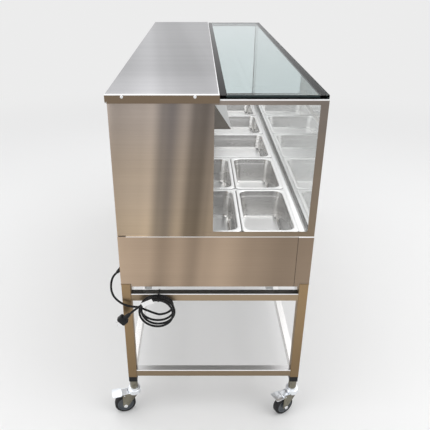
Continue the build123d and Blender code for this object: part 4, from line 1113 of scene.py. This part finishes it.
        # Painted shade on the cover's skirt and the hood's end, painted highlights on the folds and the
        # frame's ends.
        tests = [
            ("top_cover", Look.cover_skirt_painted_shade, lambda place, normal: abs(normal.x) > FACES),
            ("top_cover", Look.fold, lambda place, normal: abs(normal.x) > LEANS and normal.z > LEANS
             and abs(place.x) > fold_end),
            ("top_cover", Look.fold, lambda place, normal: normal.y < -LEANS and normal.z > LEANS
             and place.y < fold_front),
            ("top_frame", Look.fold, lambda place, normal: abs(normal.x) > FACES and abs(place.x) > fold_end),
            ("lower_end_panels", Look.fold, lambda place, normal: normal.z > TURNS),
            ("lamp_hood", Look.hood_end_painted_shade, lambda place, normal: abs(normal.x) > FACES),
            ("front_fascia", Look.long_panel, lambda place, normal: abs(normal.y) > FACES),
            ("front_fascia", Look.fold, lambda place, normal: normal.z > TURNS and abs(normal.x) > TURNS),
        ]
        # Painted shade in the seams between the end panels and the fascia.
        tests += [(name, Look.seam, lambda place, normal: abs(normal.y) > TURNS
                   and abs(place.y - seam) < 2 * self.seam_round
                   and abs(place.x) > reach.x - self.seam_depth) for name in self.seamed]
        for name, finish, test in tests:
            coat_faces(pieces[name], finish, test)


@dataclass
class PanSet:
    """Pressed food pans with rounded mouths, tapered walls and turned-down rims."""

    flange: float = 11.5 * MM
    mouth_corner: float = 30.0 * MM
    rim_corner: float = 14.0 * MM
    taper_share: float = 0.07
    seat: float = 0.1 * MM
    lip: float = 1.7 * MM
    gauge: float = 0.9 * MM
    floor_round: float = 12.0 * MM
    floor_level: float = 0.97
    mouth_round: float = 2.4 * MM
    rim_round: float = 1.4 * MM
    roll_steps: tuple[tuple[float, float], ...] = ((0.3, 0.7), (0.7, 0.3))
    shoulder_drop: float = 20.0 * MM
    shoulder: float = 2.0 * MM
    shoulder_round: float = 0.8 * MM
    segments: int = 7
    smooth_to: float = 40.0
    kinds: tuple[tuple[str, ...], ...] = (
        tuple(f"third_pan_{index}" for index in range(1, 7)), ("full_pan",),
        tuple(f"half_pan_{index}" for index in range(1, 5)),
    )

    def ring(self, name: str, low: Vector, high: Vector, level: float, corner: float) -> Piece:
        """Make a rounded rectangle of edges.

        Args:
            name: Name of the loop.
            low: Lowest corner in plan.
            high: Highest corner in plan.
            level: Its height.
            corner: Its corner radius.

        Returns:
            The loop.
        """
        centre = (low + high) / 2
        bpy.ops.mesh.primitive_plane_add(size=1.0, location=(centre.x, centre.y, level))
        bpy.context.object.scale = (high.x - low.x, high.y - low.y, 1.0)
        loop = settle(name)
        with editing(loop, "VERT"):
            bevel(corner, self.segments, "VERTICES")
            bpy.ops.mesh.select_mode(type="FACE")
            bpy.ops.mesh.select_all(action="SELECT")
            bpy.ops.mesh.delete(type="ONLY_FACE")
        return loop

    def build(self, node: str) -> Piece:
        """Model one pan in the place of its node.

        Args:
            node: Name of the frame node.

        Returns:
            The pan.
        """
        low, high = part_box(node)
        level = high.z - self.seat + self.lip - self.gauge
        roll = self.rim_round + self.gauge / 2
        rolled = Vector((roll, roll, 0.0))
        inset = Vector((self.flange, self.flange, 0.0))
        pan = self.ring(f"{node}_pressed", low + rolled, high - rolled, level, self.rim_corner - roll)
        join(pan, self.ring("mouth", low + inset, high - inset, level, self.mouth_corner))
        centre, outer = (low + high) / 2, (high - low) / 2
        half = outer - inset
        floor = low.z + self.gauge
        step = level - self.shoulder_drop
        steps = (
            (step, self.taper_share * self.shoulder_drop),
            (step - self.gauge, self.shoulder),
            (floor, self.taper_share * (step - floor)),
        )

        def on_mouth(one: Vector, two: Vector) -> bool:
            """Whether an edge lies on the rim of the mouth."""
            return all(abs(end.x - centre.x) < half.x + NEAR and abs(end.y - centre.y) < half.y + NEAR
                       and abs(end.z - level) < SAME for end in (one, two))

        with editing(pan, "EDGE"):
            bpy.ops.mesh.bridge_edge_loops()
            pick(pan, on_mouth)
            here, size = level, half.copy()
            for there, draw in steps:
                extrude(there - here)
                resize(1 - draw / size.x, 1 - draw / size.y, centre)
                here, size = there, size - Vector((draw, draw, 0.0))
            bpy.ops.mesh.edge_face_add()
            pick(pan, lambda one, two: max(one.z, two.z) < floor + SAME)
            bevel(self.floor_round, segments=4)
            pick(pan, lambda one, two: abs(one.z - two.z) < SAME
                 and step - self.gauge - SAME < one.z < step + SAME)
            bevel(self.shoulder_round, segments=2)
            pick(pan, on_mouth)
            bevel(self.mouth_round, segments=3)
            bpy.ops.mesh.select_mode(type="EDGE")
            bpy.ops.mesh.select_all(action="DESELECT")
            bpy.ops.mesh.select_non_manifold(extend=False)
            for drop, reach in self.roll_steps:
                extrude(-drop * self.rim_round)
                resize(*(1 + reach * self.rim_round / side for side in outer.xy), centre)
            extrude(self.rim_round - self.lip)
            bpy.ops.mesh.select_all(action="SELECT")
            bpy.ops.mesh.normals_make_consistent(inside=False)
        apply_modifier(pan, "SOLIDIFY", thickness=self.gauge, offset=0.0)
        smooth(pan, self.smooth_to)
        return pan

    def coat(self, pan: Piece, node: str) -> None:
        """Give the walls their finish, the floor and the rim lighter copies of it as painted light, and the
        rim's lip a near-black painted shade.

        Args:
            pan: The pan.
            node: Name of the frame node.
        """
        low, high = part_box(node)
        centre, inner = (low + high) / 2, (high - low) / 2 - Vector((self.flange, self.flange, 0.0)) / 2
        rim = high.z - self.mouth_round

        def on_lip(place: Vector, normal: Vector) -> bool:
            """Whether a face of the rim is on its outer edge and looks sideways."""
            within = abs(place.x - centre.x) < inner.x and abs(place.y - centre.y) < inner.y
            return place.z > rim and abs(normal.z) < FACES and not within

        coat(pan, Look.pan)
        # Painted light on the floors and the rims.
        coat_faces(pan, Look.pan_floor_painted_light, lambda place, normal: normal.z > self.floor_level
                   and place.z < low.z + self.floor_round)
        coat_faces(pan, Look.pan_rim_painted_highlight, lambda place, normal: place.z > rim)
        # Painted shade on the lips of the rims.
        coat_faces(pan, Look.pan_lip_painted_shade, on_lip)

    def dress(self) -> None:
        """Make one pan of each kind, copy it to the others' places and let each stand for its node."""
        for first, *others in self.kinds:
            pans = {first: self.build(first)}
            self.coat(pans[first], first)
            for node in others:
                pans[node] = duplicate(pans[first], f"{node}_pressed")
                move_mesh(pans[node], Matrix.Translation(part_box(node)[0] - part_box(first)[0]))
            for node, pan in pans.items():
                stand_for(pan, f"{node}_body", node)


@dataclass
class CasterSet:
    """Swivel casters with brake pedals, modelled over their frame nodes."""

    nodes: dict[str, Piece]
    joints: dict[str, dict]
    names: tuple[str, ...] = tuple(f"caster_{index}" for index in range(1, 5))
    wheel_radius: float = 37.5 * MM
    wheel_width: float = 24.0 * MM
    tyre_round: float = 6.0 * MM
    rim_radius: float = 29.0 * MM
    rim_fit: float = 0.05 * MM
    rim_step: float = 0.8 * MM
    rim_wall: float = 2.5 * MM
    rim_round: float = 0.7 * MM
    round_from: float = 9.6 * MM
    dish: float = 6.0 * MM
    dish_draw: float = 0.95
    dish_share: float = 0.87
    hub_radius: float = 12.0 * MM
    hub_half: float = 13.0 * MM
    bore_radius: float = 4.25 * MM
    bore_wall: float = 0.6 * MM
    smooth_to: float = 38.0
    press_round: float = 0.5 * MM
    ring_level: float = 84.0 * MM
    nut_from: float = 16.2 * MM
    nut_radius: float = 8.5 * MM

    def tyre(self, name: str) -> Piece:
        """Model the tyre about the Z axis.

        Args:
            name: Name of the piece.

        Returns:
            The tyre.
        """
        tyre = cylinder(name, self.wheel_radius, self.wheel_width)
        with editing(tyre):
            pick(tyre, lambda centre, normal: abs(normal.z) > FACES, faces=True)
            bpy.ops.mesh.inset(thickness=self.wheel_radius - self.rim_radius)
            bpy.ops.mesh.delete(type="ONLY_FACE")
            bpy.ops.mesh.select_mode(type="EDGE")
            pick(tyre, lambda one, two: max(one.xy.length, two.xy.length) < self.rim_radius + ROUND)
            bpy.ops.mesh.bridge_edge_loops()
            pick(tyre, lambda one, two: min(one.xy.length, two.xy.length) > self.wheel_radius - ROUND
                 and abs(one.z - two.z) < SAME)
            bevel(self.tyre_round, segments=5)
        return coat(tyre, Look.tyre)

    def centre(self) -> Piece:
        """Model the dished wheel centre and its hub about the Z axis.

        Returns:
            The wheel centre.
        """
        centre = cylinder("centre", self.rim_radius - self.rim_fit, self.wheel_width - 2 * self.rim_step)
        rim_half = self.wheel_width / 2 - self.rim_step
        with editing(centre):
            for side in (1.0, -1.0):
                pick(centre, lambda place, normal: normal.z * side > FACES, faces=True)
                bpy.ops.mesh.inset(thickness=self.rim_wall)
                extrude(-side * self.dish)
                resize(self.dish_draw, self.dish_draw, (0.0, 0.0, 0.0))
                bpy.ops.mesh.inset(thickness=self.rim_radius * self.dish_share - self.hub_radius)
                extrude(side * (self.hub_half - rim_half + self.dish))
                bpy.ops.mesh.inset(thickness=self.hub_radius - self.bore_radius - self.bore_wall)
            bpy.ops.mesh.select_mode(type="EDGE")
            pick(centre, lambda one, two: abs(one.z - two.z) < SAME
                 and abs(one.xy.length - two.xy.length) < SAME and one.xy.length > self.round_from)
            bevel(self.rim_round, segments=2)
        return coat(centre, Look.wheel)

    def pressed(self, node: str, body: str, finish: Finish) -> Piece:
        """Soften a pressed node and set it on its body.

        Args:
            node: Name of the frame node.
            body: Name of the body.
            finish: Its finish.

        Returns:
            The pressed piece.
        """
        piece = soften(twin(self.nodes[node], f"{node}_pressed"), self.press_round)
        return coat(stand_for(piece, body, node), finish)

    def wheel(self, name: str) -> Piece:
        """Model a whole wheel about the Z axis.

        Args:
            name: Name of the piece.

        Returns:
            The wheel.
        """
        wheel = join(self.tyre(name), self.centre())
        with editing(wheel):
            bpy.ops.mesh.remove_doubles(threshold=SAME)
            bpy.ops.mesh.normals_make_consistent(inside=False)
        smooth(wheel, self.smooth_to)
        return wheel

    def dress(self) -> None:
        """Model one wheel, copy it for the other casters and dress them all."""
        first, *others = self.names
        wheel = self.wheel(f"{first}_wheel_turned")
        copies = [duplicate(wheel, f"{name}_wheel_turned") for name in others]
        for name, piece in zip(self.names, (wheel, *copies)):
            self.dress_caster(name, piece)

    def dress_caster(self, name: str, wheel: Piece) -> None:
        """Stand a wheel on its axle, soften the fork and pedal, and set them on their bodies.

        Args:
            name: Name of the caster.
            wheel: Its wheel, about the Z axis.
        """
        joint = self.joints[f"{name}_roll"]
        axle, axis = Vector(joint["pos_m"]), Vector(joint["axis"])
        turn = Vector(UPWARDS).rotation_difference(axis).to_matrix().to_4x4()
        move_mesh(wheel, Matrix.Translation(axle) @ turn)
        stand_for(wheel, f"{name}_wheel_body", f"{name}_wheel")

        def on_nut(place: Vector, normal: Vector) -> bool:
            """Whether a face lies on a nut at the end of the axle."""
            reach = (place - axle).dot(axis)
            return abs(reach) > self.nut_from and (place - axle - axis * reach).length < self.nut_radius

        fork = self.pressed(f"{name}_fork", name, Look.fork)
        coat_faces(fork, Look.zinc, lambda place, normal: place.z > self.ring_level)
        coat_faces(fork, Look.nut, on_nut)
        self.pressed(f"{name}_pedal", f"{name}_pedal_body", Look.zinc)


@dataclass
class MainsCord:
    """Mains lead, loose coil, tail, plug, tie and blank tag."""

    nodes: dict[str, Piece]
    diameter: float = 7.2 * MM
    length: float = 1.51
    lead: tuple[Point, ...] = (
        (-0.856, 0.317, 0.573), (-0.856, 0.3285, 0.5615), (-0.859, 0.336, 0.547), (-0.866, 0.3395, 0.530),
        (-0.8795, 0.337, 0.5135), (-0.8975, 0.325, 0.5005), (-0.9135, 0.2995, 0.489), (-0.915, 0.274, 0.480),
        (-0.9085, 0.258, 0.4735), (-0.899, 0.247, 0.4655),
    )
    coil_top_x: float = -0.905
    coil_pitch: float = 8.2 * MM
    coil_centre_y: float = 0.187
    coil_top_z: float = 0.517
    coil_bottoms: tuple[float, ...] = (0.437, 0.420, 0.412, 0.4075)
    coil_lefts: tuple[float, ...] = (0.241, 0.238, 0.244)
    coil_rights: tuple[float, ...] = (0.136, 0.133, 0.130, 0.135)
    coil_bulge: float = 0.03
    end_arc: float = math.radians(115.0)
    end_share: float = 0.7
    coil_end: tuple[float, float] = (0.206, 0.513)
    coil_end_step: float = 3.0 * MM
    tail: tuple[tuple[float, float], ...] = (
        (0.2243, 0.5045), (0.2425, 0.4918), (0.261, 0.4758), (0.274, 0.463))
    steps: int = 5
    plug_length: float = 42.0 * MM
    plug_edge: float = 0.6 * MM

    def drift(self, quarter: float) -> float:
        """How far along X the coil is after some quarter turns; the first top is at two."""
        return self.coil_top_x - self.coil_pitch / 4 * (quarter - 2)

    def stations(self) -> list[tuple[float, float, int]]:
        """The bottom, right, top and left of each turn.

        Returns:
            Their Y and Z, and how many quarter turns lie before them.
        """
        middle_z = (self.coil_top_z + self.coil_bottoms[-1]) / 2
        stations = []
        for turn, bottom in enumerate(self.coil_bottoms):
            side_z = (self.coil_top_z + bottom) / 2
            quarters = [(self.coil_centre_y, bottom), (self.coil_rights[turn], side_z)]
            if turn < len(self.coil_lefts):
                quarters += [(self.coil_centre_y, self.coil_top_z), (self.coil_lefts[turn], middle_z)]
            stations += [(y, z, 4 * turn + quarter) for quarter, (y, z) in enumerate(quarters)]
        return stations

    def coil_points(self) -> list[Point]:
        """Points of the loose turns, from bottom to bottom, each quarter an arc of an ellipse.

        Returns:
            The points, from the end of the lead to the start of the tail.
        """
        stations = self.stations()
        shares = [step / self.steps for step in range(self.steps)]
        points = []
        for (y, z, quarter), (next_y, next_z, _) in zip(stations, stations[1:]):
            upright = quarter % 2 == 0
            for share in shares:
                angle = math.pi / 2 * share
                first, second = math.sin(angle), 1 - math.cos(angle)
                bulge = 1.0 + self.coil_bulge * math.sin(2 * angle)
                share_y, share_z = (first * bulge, second) if upright else (second, first)
                points.append((self.drift(quarter + share), y + (next_y - y) * share_y,
                               z + (next_z - z) * share_z))
        y, z, quarter = stations[-1]
        start_x, end_x = self.drift(quarter), self.drift(quarter + 1) - self.coil_end_step
        reach_y, reach_z = (self.coil_end[0] - y) * self.end_share, self.coil_top_z - z
        for share in shares:
            angle = self.end_arc * share
            points.append((start_x + (end_x - start_x) * share, y + reach_y * (1 - math.cos(angle)),
                           z + reach_z * math.sin(angle)))
        return [*points, (end_x, *self.coil_end)]

    def line(self) -> Piece:
        """Lay the cord as one smooth curve from the gland to the plug.

        Returns:
            The cord.
        """
        coil = self.coil_points()
        points = [*self.lead, *coil, *[(coil[-1][0], y, z) for y, z in self.tail]]
        data = bpy.data.curves.new("mains_cord", "CURVE")
        data.dimensions = "3D"
        data.bevel_depth = self.diameter / 2
        data.bevel_resolution = 4
        data.use_fill_caps = True
        data.resolution_u = 6
        spline = data.splines.new("NURBS")
        spline.points.add(len(points) - 1)
        for knot, place in zip(spline.points, points):
            knot.co = (*place, 1.0)
        spline.order_u = 3
        spline.use_endpoint_u = True
        cord = bpy.data.objects.new("mains_cord", data)
        bpy.context.scene.collection.objects.link(cord)
        return cord

    def dress(self) -> None:
        cord = stand_for(coat(self.line(), Look.cord), "case", "cord_lead", "cord_coil", "cord_tail")
        plug = soften(twin(self.nodes["plug"], "plug_moulded"), self.plug_edge)
        coat(stand_for(plug, "case", "plug"), Look.black)
        before, end = (Vector((0.0, *place)) for place in self.tail[-2:])
        way = (end - before).normalized()
        coat_faces(plug, Look.nut, lambda place, normal: (place - end).dot(way) > self.plug_length)
        tie = coat(self.nodes["cable_tie"], Look.black)
        tag = coat(self.nodes["cord_tag"], Look.card)


def main() -> None:
    """Build every sub-assembly round the frame."""
    logging.basicConfig(level=logging.INFO, format="%(name)s: %(message)s")
    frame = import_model()
    nodes = frame["nodes"]
    joints = {joint["name"]: joint for joint in frame["joints"]}
    Studio().build()
    MainsCord(nodes).dress()
    CaseShell(nodes).dress()
    PanSet().dress()
    CasterSet(nodes, joints).dress()


if __name__ == "__main__":
    main()
